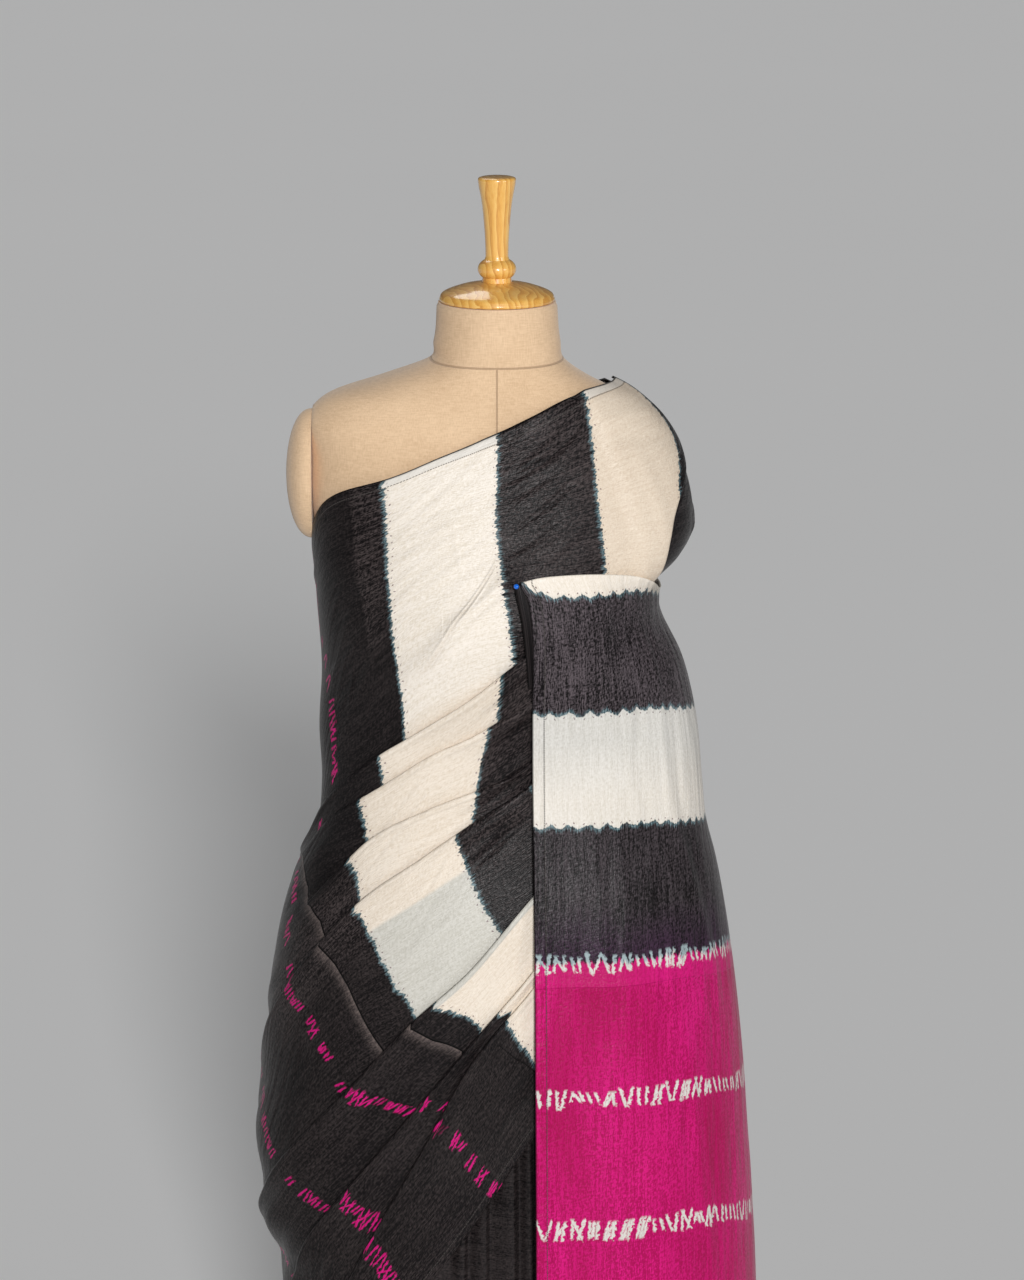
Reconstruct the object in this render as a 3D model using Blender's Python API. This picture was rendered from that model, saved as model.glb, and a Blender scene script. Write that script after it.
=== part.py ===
"""A striped silk sari wound on a limbless dress form with a turned finial and a round base.

Metres, +Z up, the form's front towards -Y, the origin on the floor under the middle of the base.

Cloth is placed in two coordinates on the outside of the dressed figure: turn, the angle round the
figure in degrees, 0 at the front and growing towards +X, and height. Up to CHEST_HEIGHT a height is
the real one. Above it, it goes up over the shoulder along an arc of radius SHOULDER_ARC. A third
value, lift, says how far a point stands out from the figure.
"""
import math

import bmesh
import bpy
import numpy as np
from mathutils import Matrix

CLOTH_WALL = 0.0022
SEAM_GAP = 0.0003
CHEST_HEIGHT = 1.20
SHOULDER_ARC = 0.22
SECTION_POWER = 2.3

# Dress form and its stand
FORM_BOTTOM = 0.80
NECK_TOP = 1.494
ARMHOLE_RIGHT = -0.1855
ARMHOLE_LEFT = 0.160
CAP_REACH_RIGHT = 0.027
CAP_REACH_LEFT = 0.018
FORM_SIDES = 36
POLE_RADIUS = 0.016
BASE_RADIUS = 0.18
BASE_HEIGHT = 0.028
TURNED_SIDES = 28

# The sari on the form
HEM_HEIGHT = 0.014
WAIST_TOP = 1.03
FOLD_RISE = 0.0036
TUCK_UNDER = 0.010
WRAP_START = -235.0
BACK_SEAM = -100.0
BANDS_END = 50.0
SKIRT_SETBACK = -0.0125
SKIRT_FLUTE = 0.0034
PALLU_LIFT = 0.0155
PALLU_BOTTOM = 0.37
PALLU_BACK = 150.0
PALLU_TOP_LIFT = 0.0093
RETURN_LIFT = PALLU_LIFT - CLOTH_WALL - 0.0010
RETURN_FIRST, RETURN_LOWER, RETURN_LAST = 6.6, 12.5, 22.0
RETURN_TOP = 1.2555
RETURN_DROP = 0.1215
FALL_LIFT = 0.0050
FALL_OVERLAP = 8.0
FALL_CLEAR = 0.0010
OVER_FALL = 0.0050
OVER_CREST = 0.0016
PALLU_FLUTE = 0.0036
BACK_FLUTE = 0.0035
TUCK_DEPTH = 0.012
TUCK_SPREAD = 0.016
SHOULDER_SEAM = 104.0
FALL_START = 62.0
FALL_END = PALLU_BACK - 1.0
FALL_BOTTOM = 1.12
PIN_RADIUS = 0.0026
PIN_SPOT = (7.5, 1.2525)

BLACK_SILK = (0.022, 0.020, 0.021)
IVORY_SILK = (0.72, 0.68, 0.58)
MAGENTA_SILK = (0.32, 0.015, 0.10)
LINEN = (0.50, 0.44, 0.35)
HONEY_WOOD = (0.50, 0.24, 0.07)
STEEL = (0.30, 0.30, 0.31)
PIN_BLUE = (0.03, 0.12, 0.55)

SECTION_COLUMNS = ("z", "right", "left", "front", "back")

# How far the form reaches from its axis at each height
FORM_SECTIONS = (
    (0.800, 0.120, 0.120, 0.085, 0.090),
    (0.812, 0.152, 0.152, 0.104, 0.112),
    (0.850, 0.168, 0.168, 0.114, 0.122),
    (0.900, 0.170, 0.170, 0.115, 0.122),
    (0.950, 0.159, 0.159, 0.108, 0.112),
    (1.000, 0.144, 0.144, 0.100, 0.101),
    (1.045, 0.138, 0.138, 0.096, 0.096),
    (1.100, 0.149, 0.143, 0.107, 0.096),
    (1.180, 0.158, 0.146, 0.126, 0.103),
    (1.230, 0.172, 0.146, 0.123, 0.106),
    (1.280, 0.186, 0.160, 0.110, 0.105),
    (1.340, 0.190, 0.168, 0.090, 0.095),
    (1.385, 0.188, 0.144, 0.077, 0.081),
    (1.402, 0.166, 0.122, 0.071, 0.073),
    (1.418, 0.1165, 0.091, 0.066, 0.068),
    (1.435, 0.070, 0.068, 0.062, 0.064),
    (1.455, 0.0635, 0.0635, 0.061, 0.062),
    (1.494, 0.060, 0.060, 0.060, 0.060),
)

# How far the outside of the wrapped cloth reaches at each height
DRAPE_SECTIONS = (
    (0.000, 0.230, 0.268, 0.215, 0.205),
    (0.250, 0.223, 0.262, 0.200, 0.192),
    (0.450, 0.224, 0.257, 0.186, 0.182),
    (0.500, 0.227, 0.2545, 0.182, 0.179),
    (0.517, 0.2345, 0.2533, 0.181, 0.178),
    (0.545, 0.2445, 0.2515, 0.1795, 0.1765),
    (0.575, 0.246, 0.2495, 0.178, 0.175),
    (0.610, 0.250, 0.2465, 0.176, 0.172),
    (0.690, 0.239, 0.2405, 0.170, 0.168),
    (0.800, 0.232, 0.2285, 0.161, 0.160),
    (0.860, 0.2195, 0.2195, 0.154, 0.154),
    (0.910, 0.202, 0.210, 0.144, 0.145),
    (0.950, 0.186, 0.200, 0.135, 0.134),
    (1.000, 0.1795, 0.1945, 0.126, 0.121),
    (1.060, 0.1805, 0.189, 0.124, 0.113),
    (1.120, 0.177, 0.176, 0.136, 0.113),
    (1.190, 0.182, 0.155, 0.146, 0.118),
    (1.215, 0.184, 0.160, 0.144, 0.119),
    (1.240, 0.187, 0.184, 0.140, 0.120),
    (1.265, 0.189, 0.196, 0.132, 0.1195),
    (1.290, 0.191, 0.196, 0.124, 0.118),
    (1.340, 0.194, 0.1818, 0.105, 0.105),
    (1.385, 0.192, 0.1512, 0.085, 0.085),
    (1.402, 0.171, 0.130, 0.079, 0.080),
    (1.418, 0.122, 0.098, 0.072, 0.074),
    (1.435, 0.080, 0.076, 0.067, 0.069),
    (1.490, 0.066, 0.066, 0.062, 0.062),
)

# Each fold's step, the turns where the step grows in, and its height at each of FOLD_TURNS
FOLD_TURNS = (-235, -200, -150, -120, -90, -70, -50, -30, -10, 10, 30, 50, 72, 104)
FOLDS = {
    "upper_selvage": (0.0, -120, -85,
        1.060, 1.085, 1.140, 1.190, 1.240, 1.312, 1.360, 1.408, 1.436, 1.448, 1.451, 1.449, 1.441, 1.432),
    "chest_tuck": (0.0045, -50, -30,
        0.930, 0.935, 0.960, 1.000, 1.055, 1.095, 1.120, 1.162, 1.225, 1.290, 1.330, 1.355, 1.375, 1.380),
    "waist_fold_1": (0.0065, -140, -95,
        0.790, 0.800, 0.830, 0.872, 0.937, 0.997, 1.049, 1.086, 1.120, 1.162, 1.192, 1.203, 1.205, 1.206),
    "waist_fold_2": (0.0060, -110, -78,
        0.740, 0.745, 0.770, 0.815, 0.905, 0.971, 1.015, 1.054, 1.079, 1.110, 1.140, 1.158, 1.165, 1.166),
    "waist_fold_3": (0.0060, -78, -50,
        0.650, 0.655, 0.680, 0.725, 0.815, 0.888, 0.964, 0.999, 1.020, 1.040, 1.080, 1.110, 1.124, 1.126),
    "waist_fold_4": (0.0075, -112, -84,
        0.510, 0.515, 0.540, 0.595, 0.690, 0.797, 0.898, 0.951, 0.989, 1.018, 1.050, 1.078, 1.094, 1.096),
    "hip_fold_1": (0.0085, -140, -95,
        0.360, 0.365, 0.385, 0.430, 0.515, 0.598, 0.696, 0.783, 0.842, 0.904, 0.955, 0.998, 1.026, 1.030),
    "hip_fold_2": (0.0080, -100, -70,
        0.210, 0.215, 0.235, 0.300, 0.400, 0.475, 0.583, 0.683, 0.765, 0.832, 0.900, 0.955, 0.995, 1.005),
    "hip_fold_3": (0.0065, -100, -60,
        0.110, 0.115, 0.135, 0.200, 0.310, 0.390, 0.478, 0.617, 0.742, 0.815, 0.880, 0.935, 0.975, 0.985),
    "lower_selvage": (0.0, -100, -60,
        0.016, 0.017, 0.030, 0.090, 0.200, 0.290, 0.380, 0.475, 0.568, 0.661, 0.740, 0.800, 0.840, 0.850),
}
FOLD_NAMES = tuple(FOLDS)

# Front edge of the pallu at each height: how far it lies from the middle, along X
PALLU_EDGE = ((0.37, 0.042), (0.70, 0.041), (1.10, 0.038), (1.20, 0.036), (1.238, 0.030), (1.252, 0.024))
# Its top fold, at each turn
PALLU_TOP = ((9, 1.257), (15, 1.261), (28, 1.262), (40, 1.258), (56, 1.245), (66, 1.232), (76, 1.219), (100, 1.208), (150, 1.192))
# Upper edge of the shoulder fall, over the shoulder and down the back
FALL_TOP = ((60, 1.442), (90, 1.434), (104, 1.430), (120, 1.408), (136, 1.355), (150, 1.285))
# Turn where the chest cloth ends, at each height
SHOULDER_END = ((1.10, 66), (1.24, 65), (1.28, 66), (1.31, 72), (1.34, 86), (1.38, 104), (1.45, 104))
# Turns of the edges of the front pleats
PLEAT_EDGES = (-14.0, -5.5, 2.0, 6.0, 10.0, 16.0, 23.0, 30.0, 37.0)
PLEAT_FIRST, PLEAT_LAST = -24.0, 44.0
PLEAT_STEP = 0.0050


def clear_scene():
    for item in list(bpy.data.objects):
        bpy.data.objects.remove(item, do_unlink=True)


def material(name, colour, roughness, metallic=0.0):
    made = bpy.data.materials.new(name)
    made.use_nodes = True
    shader = made.node_tree.nodes["Principled BSDF"]
    shader.inputs["Base Color"].default_value = (*colour, 1.0)
    shader.inputs["Roughness"].default_value = roughness
    shader.inputs["Metallic"].default_value = metallic
    return made


def finish(name, mesh_data, colour, roughness, metallic=0.0, sharp=35.0):
    """Turn a bmesh into a named object with its own material."""
    mesh = bpy.data.meshes.new(name)
    bmesh.ops.recalc_face_normals(mesh_data, faces=mesh_data.faces)
    mesh_data.to_mesh(mesh)
    mesh_data.free()
    made = bpy.data.objects.new(name, mesh)
    bpy.context.scene.collection.objects.link(made)
    mesh.materials.append(material(name, colour, roughness, metallic))
    mesh.shade_smooth()
    mesh.set_sharp_from_angle(angle=math.radians(sharp))
    return made


def smooth(xs, ys, x):
    """Read a table with a smooth curve through its rows."""
    xs = np.asarray(xs, float)
    ys = np.asarray(ys, float)
    slopes = np.gradient(ys, xs)
    row = np.clip(np.searchsorted(xs, x) - 1, 0, len(xs) - 2)
    width = xs[row + 1] - xs[row]
    t = np.clip((x - xs[row]) / width, 0.0, 1.0)
    rise = t * t * (3 - 2 * t)
    start = t * (1 - t) ** 2 * width * slopes[row]
    end = t * t * (t - 1) * width * slopes[row + 1]
    return ys[row] * (1 - rise) + ys[row + 1] * rise + start + end


def along(pairs, x):
    """Read a table of pairs with the same smooth curve."""
    keys, values = zip(*pairs)
    return smooth(keys, values, np.asarray(x, float))


def ease(low, high, x):
    t = np.clip((x - low) / (high - low), 0.0, 1.0)
    return t * t * (3 - 2 * t)


def reach(sections, column, z):
    rows = np.asarray(sections)
    return smooth(rows[:, 0], rows[:, SECTION_COLUMNS.index(column)], z)


def beyond(sections, x, y, z):
    """Less than 1 inside the rounded sections, 1 on them and more outside."""
    wide = np.where(x < 0, reach(sections, "right", z), reach(sections, "left", z))
    deep = np.where(y < 0, reach(sections, "front", z), reach(sections, "back", z))
    return (np.abs(x) / wide) ** SECTION_POWER + (np.abs(y) / deep) ** SECTION_POWER


def figure(turn, height):
    """The point on the outside of the dressed figure at a turn and height."""
    angle = np.radians(turn)
    rise = np.maximum(0.0, height - CHEST_HEIGHT) / SHOULDER_ARC
    foot = np.minimum(height, CHEST_HEIGHT)
    way = np.stack((np.sin(angle) * np.cos(rise), -np.cos(angle) * np.cos(rise), np.sin(rise)), -1)
    near = np.zeros_like(rise)
    far = np.full_like(rise, 0.5)
    for _ in range(32):
        middle = (near + far) / 2
        point = way * middle[..., None]
        outside = beyond(DRAPE_SECTIONS, point[..., 0], point[..., 1], point[..., 2] + foot) > 1
        far = np.where(outside, middle, far)
        near = np.where(outside, near, middle)
    point = way * near[..., None]
    point[..., 2] += foot
    return point


def place(turn, height, lift):
    """The point that stands out from the figure by lift."""
    turn, height, lift = np.broadcast_arrays(*(np.asarray(v, float) for v in (turn, height, lift)))
    across = figure(turn + 0.8, height) - figure(turn - 0.8, height)
    upward = figure(turn, height + 0.003) - figure(turn, height - 0.003)
    outward = np.cross(across, upward)
    outward /= np.linalg.norm(outward, axis=-1, keepdims=True)
    return figure(turn, height) + outward * lift[..., None]


def fold_height(name, turn):
    return smooth(FOLD_TURNS, FOLDS[name][3:], turn)


def fold_step(name, turn):
    """How far a fold's edge stands out at a turn."""
    step, grow_from, grow_to = FOLDS[name][:3]
    return step * ease(grow_from, grow_to, turn)


def soft_wave(turn, height):
    """Slack in the cloth: broad diagonal swells, never below zero."""
    return 0.0010 * (1 + np.sin(np.radians(turn * 3.1) + height * 17.0))


def back_flutes(turn, height):
    """The cloth hangs in a few broad folds behind the hips."""
    wave = 1 + np.sin(np.radians(turn * 6.0) + 1.2 * np.sin(np.radians(turn * 2.0)))
    return BACK_FLUTE * wave * ease(-112, -140, turn) * ease(1.0, 0.45, height)


def wrap_lift(turn, height):
    """Lift of the wound cloth: each fold's edge stands out, and its band sinks back towards the next."""
    lift = soft_wave(turn, height) + back_flutes(turn, height)
    for name, below in zip(FOLD_NAMES, FOLD_NAMES[1:]):
        top = fold_height(name, turn)
        down = (top - height) / np.maximum(top - fold_height(below, turn), 0.004)
        band = (down >= -1e-6) & (down < 1)
        lift = lift + np.where(band, fold_step(name, turn) * (1 - np.clip(down, 0, 1)) ** 1.3, 0)
    return lift


def wall(name, turn, height, lift, colour, roughness=0.42):
    """A cloth wall: a grid laid on its outer points, whose copy is drawn back by its thickness."""
    rows, columns = turn.shape
    outer = place(turn, height, lift).reshape(-1, 3)
    inner = place(turn, height, lift - CLOTH_WALL).reshape(-1, 3)
    sheet = bmesh.new()
    bmesh.ops.create_grid(sheet, x_segments=columns - 1, y_segments=rows - 1, size=1.0)
    sheet.verts.ensure_lookup_table()
    number = sheet.verts.layers.int.new("number")
    for index, vert in enumerate(sheet.verts):
        vert[number] = index
        vert.co = outer[index]
    back = bmesh.ops.extrude_face_region(sheet, geom=sheet.faces[:], use_keep_orig=True)
    for item in back["geom"]:
        if isinstance(item, bmesh.types.BMVert):
            item.co = inner[item[number]]
    return finish(name, sheet, colour, roughness)


def turns(first, last, spacing):
    return np.linspace(first, last, max(2, round(abs(last - first) / spacing) + 1))


def band_rows(names, turn, tail):
    """Heights of the rows of the bands between the named folds, the last one tucked under by tail."""
    rows = []
    for name, below in zip(names, names[1:]):
        top = fold_height(name, turn)
        bottom = fold_height(below, turn) + FOLD_RISE
        rows += [top + (bottom - top) * share for share in (0.0, 0.14, 0.5, 1.0)]
    if tail:
        rows[-1] = fold_height(names[-1], turn) - tail
    return np.array(rows)


def banded_stretch(name, fold_names, colour, tail):
    """Bands between folds, from the seam on the back round the front to under the pallu."""
    turn = np.concatenate((turns(BACK_SEAM, 20, 5.5), turns(27, BANDS_END, 8)))
    height = band_rows(fold_names, turn, tail)
    grid = np.broadcast_to(turn, height.shape)
    lift = wrap_lift(grid, height)
    if tail:
        lift[-1] = soft_wave(turn, height[-1]) * 0.3
    return wall(name, grid, height, lift, colour)


def chest():
    """From the upper selvage to the first waist fold, over the left shoulder."""
    share = np.linspace(0, 1, 38)
    turn = []
    height = []
    for down in (0.0, 0.06, 0.14, 0.22, 0.31, 0.40, 0.50, 0.60, 0.70, 0.80, 0.90, 1.0):
        row_turn = BACK_SEAM + (SHOULDER_SEAM - BACK_SEAM) * share
        for settle in range(4):
            # The row's end depends on its height, and its height on its turn, so both settle together
            top = fold_height("upper_selvage", row_turn)
            bottom = fold_height("waist_fold_1", row_turn) - TUCK_UNDER
            row_height = top + (bottom - top) * down
            end = along(SHOULDER_END, row_height[-1])
            row_turn = BACK_SEAM + (end - BACK_SEAM) * share
        turn.append(row_turn)
        height.append(row_height)
    turn = np.array(turn)
    height = np.array(height)
    return wall("sari_chest", turn, height, chest_lift(turn, height), IVORY_SILK)


def chest_lift(turn, height):
    """The chest sinks to the figure under the first waist fold, and rides over the shoulder fall."""
    near_fold = ease(0.0, 0.03, height - fold_height("waist_fold_1", turn))
    below_tuck = height - fold_height("chest_tuck", turn) + TUCK_DEPTH
    tuck = fold_step("chest_tuck", turn) * (1 - ease(0, 16, turn)) * np.exp(-(below_tuck / TUCK_SPREAD) ** 2)
    over_fall = OVER_FALL * ease(BANDS_END, BANDS_END + 7, turn) + OVER_CREST * ease(84, 94, turn)
    return (soft_wave(turn, height) + tuck) * near_fold + over_fall


def back_wrap():
    """The full width of the cloth round the back, from selvage to selvage."""
    turn = turns(WRAP_START, BACK_SEAM - 0.1, 7.5)
    share = np.linspace(0, 1, 16)[:, None]
    top = fold_height("upper_selvage", turn)
    bottom = fold_height("lower_selvage", turn)
    height = top + (bottom - top) * share
    grid = np.broadcast_to(turn, height.shape)
    return wall("sari_back_wrap", grid, height, wrap_lift(grid, height), BLACK_SILK)


def shoulder_fall():
    """Over the shoulder, down the back of it and forward under the arm."""
    share = np.linspace(0, 1, 12)
    drop = np.linspace(0, 1, 11)[:, None]
    top = along(FALL_TOP, FALL_START + (FALL_END - FALL_START) * share)
    height = top + (FALL_BOTTOM - top) * drop
    start = along(SHOULDER_END, height[:, :1]) - FALL_OVERLAP
    turn = start + (FALL_END - start) * share
    outward = np.maximum(ease(84, 124, turn), ease(1.25, 1.19, height) * ease(80, 96, turn))
    lift = FALL_CLEAR + (FALL_LIFT - FALL_CLEAR) * outward * ease(1.40, 1.22, height)
    return wall("sari_shoulder_fall", turn, height, lift, BLACK_SILK)


def pallu():
    """The end of the sari, hanging in front from its pinned top fold and round the left side."""
    share = np.concatenate((np.linspace(0, 0.5, 15), np.linspace(0.56, 1, 9)))
    drop = np.array((0, 0.012, 0.035, 0.06, 0.09, 0.13, 0.18, 0.25, 0.33, 0.42, 0.52, 0.64, 0.76, 0.88, 1.0))
    drop = drop[:, None]
    edge_height = PALLU_TOP[0][1] + (PALLU_BOTTOM - PALLU_TOP[0][1]) * drop
    depth = reach(DRAPE_SECTIONS, "front", edge_height) + PALLU_LIFT
    first = np.degrees(np.arctan2(along(PALLU_EDGE, edge_height), depth))
    turn = first + (PALLU_BACK - first) * share
    top = along(PALLU_TOP, turn)
    height = top + (PALLU_BOTTOM - top) * drop
    return wall("sari_pallu", turn, height, pallu_lift(turn, height), BLACK_SILK)


def pallu_lift(turn, height):
    """The pallu lies close to the chest along its top fold, and hangs in soft flutes below."""
    close = ease(34, 50, turn) * ease(1.10, 1.20, height)
    wave = 1 + np.sin(np.radians(turn * 8.0) + 1.5 * np.sin(np.radians(turn * 2.3)))
    return PALLU_LIFT + (PALLU_TOP_LIFT - PALLU_LIFT) * close + PALLU_FLUTE * wave * ease(1.23, 0.60, height)


def pallu_return():
    """The layer that turns back behind the pallu's front edge."""
    drop = np.linspace(0, 1, 6)[:, None]
    share = np.linspace(0, 1, 5)
    first = RETURN_FIRST + (RETURN_LOWER - RETURN_FIRST) * drop
    turn = first + (RETURN_LAST - first) * share
    height = RETURN_TOP - RETURN_DROP * drop + 0 * share
    lift = np.full(turn.shape, RETURN_LIFT)
    return wall("sari_pallu_return", turn, height, lift, BLACK_SILK)


def skirt_rows():
    """Heights of the rows that the skirt and its pleats share."""
    drop = np.array((0, 0.03, 0.08, 0.18, 0.32, 0.41, 0.45, 0.48, 0.51, 0.57, 0.68, 0.82, 1.0))[:, None]
    return WAIST_TOP + (HEM_HEIGHT - WAIST_TOP) * drop


def skirt():
    """The first round of cloth: a tube from the waist to the hem, open at the front pleats."""
    turn = turns(PLEAT_LAST + 0.1, 360 + PLEAT_FIRST - 0.1, 9)
    height = skirt_rows() + 0 * turn
    return wall("sari_skirt", turn + 0 * height, height, under_lift(turn + 0 * height, height), BLACK_SILK)


def under_lift(turn, height):
    """The first round lies behind the wound cloth and meets it at the waist."""
    around = np.radians(turn)
    slack = SKIRT_FLUTE * (1 + np.sin(8 * around + 0.9 * np.sin(3 * around))) * ease(0.9, 0.25, height)
    hanging = ease(WAIST_TOP, WAIST_TOP - 0.06, height)
    return SKIRT_SETBACK * hanging - (CLOTH_WALL + 0.0006) * (1 - hanging) + slack


def front_pleats():
    """Knife pleats at the front, whose edges overlap from the middle towards the left side."""
    columns = [PLEAT_FIRST, PLEAT_FIRST + 5]
    lifts = [0.0, 0.0]
    for edge, following in zip(PLEAT_EDGES, PLEAT_EDGES[1:] + (PLEAT_LAST,)):
        columns += [edge, edge + 1.0, (edge + 1.0 + following) / 2]
        lifts += [0.0, PLEAT_STEP, PLEAT_STEP * 0.45]
    columns.append(PLEAT_LAST)
    lifts.append(0.0)
    turn = np.array(columns)
    height = skirt_rows() + 0 * turn
    grid = turn + 0 * height
    fade = ease(1.03, 0.95, height)
    lift = under_lift(grid, height) + np.array(lifts) * fade
    return wall("sari_front_pleats", grid, height, lift, BLACK_SILK)


def form_torso():
    """The linen-covered figure, cut flat at both armholes."""
    heights = np.concatenate((
        (FORM_BOTTOM, 0.806, 0.820), np.linspace(0.85, 1.33, 13), (1.36, 1.385, 1.394, 1.402, 1.410, 1.418),
        (1.427, 1.436, 1.447, 1.458, 1.475, NECK_TOP)))
    body = bmesh.new()
    rings = []
    for z in heights:
        ring = []
        for side in range(FORM_SIDES):
            angle = 2 * math.pi * side / FORM_SIDES
            across, along_depth = math.sin(angle), -math.cos(angle)
            wide = reach(FORM_SECTIONS, "right" if across < 0 else "left", z)
            deep = reach(FORM_SECTIONS, "front" if along_depth < 0 else "back", z)
            power = 2 / (SECTION_POWER if z < 1.43 else 2.0)
            x = math.copysign(abs(across) ** power * wide, across)
            y = math.copysign(abs(along_depth) ** power * deep, along_depth)
            x = min(max(x, ARMHOLE_RIGHT), ARMHOLE_LEFT)
            ring.append(body.verts.new((x, y, z)))
        rings.append(ring)
    for lower, upper in zip(rings, rings[1:]):
        edges = [body.edges.get(pair) or body.edges.new(pair)
                 for ring in (lower, upper) for pair in zip(ring, ring[1:] + ring[:1])]
        bmesh.ops.bridge_loops(body, edges=edges)
    body.faces.new(rings[0])
    body.faces.new(rings[-1])
    return finish("form_torso", body, LINEN, 0.85)


def turned(name, profile, colour, roughness, metallic=0.0, sides=TURNED_SIDES):
    """Spin a profile of radius and height about the vertical axis."""
    shape = bmesh.new()
    line = [shape.verts.new((radius, 0, z)) for radius, z in profile]
    edges = [shape.edges.new(pair) for pair in zip(line, line[1:])]
    bmesh.ops.spin(shape, geom=line + edges, cent=(0, 0, 0), axis=(0, 0, 1), angle=2 * math.pi,
                   steps=sides, use_merge=True)
    bmesh.ops.remove_doubles(shape, verts=shape.verts, dist=0.00001)
    return finish(name, shape, colour, roughness, metallic)


def shoulder_cap(name, plate_x, direction, cap_reach, middle, half_high, half_deep):
    """An oval dome that closes an armhole, its flat side on the form."""
    cap = bmesh.new()
    bmesh.ops.create_uvsphere(cap, u_segments=20, v_segments=12, radius=1.0)
    bmesh.ops.rotate(cap, verts=cap.verts, cent=(0, 0, 0),
                     matrix=Matrix.Rotation(math.pi / 2, 3, "Y"))
    bmesh.ops.bisect_plane(cap, geom=cap.verts[:] + cap.edges[:] + cap.faces[:], dist=0.0001,
                           plane_co=(0, 0, 0), plane_no=(direction, 0, 0), clear_inner=True)
    bmesh.ops.edgeloop_fill(cap, edges=[edge for edge in cap.edges if edge.is_boundary])
    for vert in cap.verts:
        x, y, z = vert.co
        vert.co = (plate_x + x * cap_reach, y * half_deep, middle + z * half_high)
    return finish(name, cap, LINEN, 0.85)


def ball_points(centre, wide, high, low_angle, high_angle, count):
    """Points of radius and height on the outside of a flattened ball."""
    spread = np.radians(np.linspace(low_angle, high_angle, count))
    return [(wide * math.cos(a), centre + high * math.sin(a)) for a in spread]


def finial():
    """Wooden neck cap, ball and flared handle, turned in one."""
    bottom = NECK_TOP + SEAM_GAP
    cap = [(0, bottom), (0.0572, bottom), (0.0580, bottom + 0.003), (0.0545, bottom + 0.0085),
           (0.043, bottom + 0.0135), (0.028, bottom + 0.0175), (0.0150, bottom + 0.0195)]
    ball = ball_points(1.5265, 0.0193, 0.0125, -42, 50, 8)
    handle = [(0.0115, 1.5392), (0.0117, 1.5500), (0.0130, 1.5720), (0.0155, 1.5950), (0.0186, 1.6120),
              (0.0190, 1.6150), (0.0180, 1.6176), (0.0150, 1.6186), (0, 1.6188)]
    return turned("form_finial", cap + ball + handle, HONEY_WOOD, 0.28)


def stand():
    bottom = BASE_HEIGHT + SEAM_GAP
    top = FORM_BOTTOM - SEAM_GAP
    pole = [(0, bottom), (POLE_RADIUS, bottom), (POLE_RADIUS, top), (0, top)]
    base = [(0, 0), (BASE_RADIUS, 0), (BASE_RADIUS, 0.008), (BASE_RADIUS - 0.006, 0.014),
            (0.05, BASE_HEIGHT), (0, BASE_HEIGHT)]
    turned("stand_pole", pole, STEEL, 0.35, 1.0, 20)
    turned("stand_base", base, STEEL, 0.4, 1.0, 40)


def pin():
    """The round head of the dressmaker's pin, on the tip that shows beside the pallu's corner."""
    head = bmesh.new()
    bmesh.ops.create_uvsphere(head, u_segments=12, v_segments=8, radius=PIN_RADIUS)
    spot = place(*PIN_SPOT, RETURN_LIFT + PIN_RADIUS + SEAM_GAP)
    bmesh.ops.translate(head, verts=head.verts, vec=spot)
    return finish("pin_head", head, PIN_BLUE, 0.2)


clear_scene()
form_torso()
shoulder_cap("form_cap_right", ARMHOLE_RIGHT - SEAM_GAP, -1, CAP_REACH_RIGHT, 1.319, 0.066, 0.048)
shoulder_cap("form_cap_left", ARMHOLE_LEFT + SEAM_GAP, 1, CAP_REACH_LEFT, 1.312, 0.048, 0.048)
finial()
stand()
chest()
banded_stretch("sari_waist_folds", FOLD_NAMES[2:7], IVORY_SILK, TUCK_UNDER)
banded_stretch("sari_hip_folds", FOLD_NAMES[6:], MAGENTA_SILK, 0.0)
back_wrap()
shoulder_fall()
pallu()
pallu_return()
skirt()
front_pleats()
pin()
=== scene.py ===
# %% [markdown]
# # A striped silk sari on a dress form
# One length of slub silk, 1.15 m wide, is wound round a linen dress form, folded across the front,
# taken over the left shoulder and pinned, so that its end panel hangs in front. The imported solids
# give the place and size of each stretch. The cells below make the fine cloth on them.

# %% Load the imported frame
import math

import bmesh
import bpy
import numpy as np
from mathutils import Matrix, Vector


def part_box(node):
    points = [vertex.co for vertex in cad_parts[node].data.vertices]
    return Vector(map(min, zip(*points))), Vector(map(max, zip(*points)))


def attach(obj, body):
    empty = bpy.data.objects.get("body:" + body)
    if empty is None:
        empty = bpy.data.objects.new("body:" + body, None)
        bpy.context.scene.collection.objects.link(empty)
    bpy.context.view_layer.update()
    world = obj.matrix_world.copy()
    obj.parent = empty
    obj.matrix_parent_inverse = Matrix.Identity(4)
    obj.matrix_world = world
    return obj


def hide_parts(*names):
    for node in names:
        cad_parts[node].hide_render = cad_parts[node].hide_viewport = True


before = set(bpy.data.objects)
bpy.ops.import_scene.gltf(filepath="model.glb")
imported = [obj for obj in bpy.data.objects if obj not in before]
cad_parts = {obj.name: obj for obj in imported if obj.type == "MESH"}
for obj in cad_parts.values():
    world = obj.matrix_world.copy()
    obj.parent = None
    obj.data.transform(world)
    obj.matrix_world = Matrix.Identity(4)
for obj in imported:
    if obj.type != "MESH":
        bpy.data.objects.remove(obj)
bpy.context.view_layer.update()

# %% [markdown]
# ## The camera
# The photograph looks slightly down at the upper three quarters of the figure. A long lens keeps
# the shoulders and hips in proportion. The camera comes first, because every later choice of
# detail depends on what it sees.

# %% Camera
CAMERA_PLACE = (0.015, -4.0, 2.13)
CAMERA_PITCH = 76.17
CAMERA_LENS = 113.6

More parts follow.
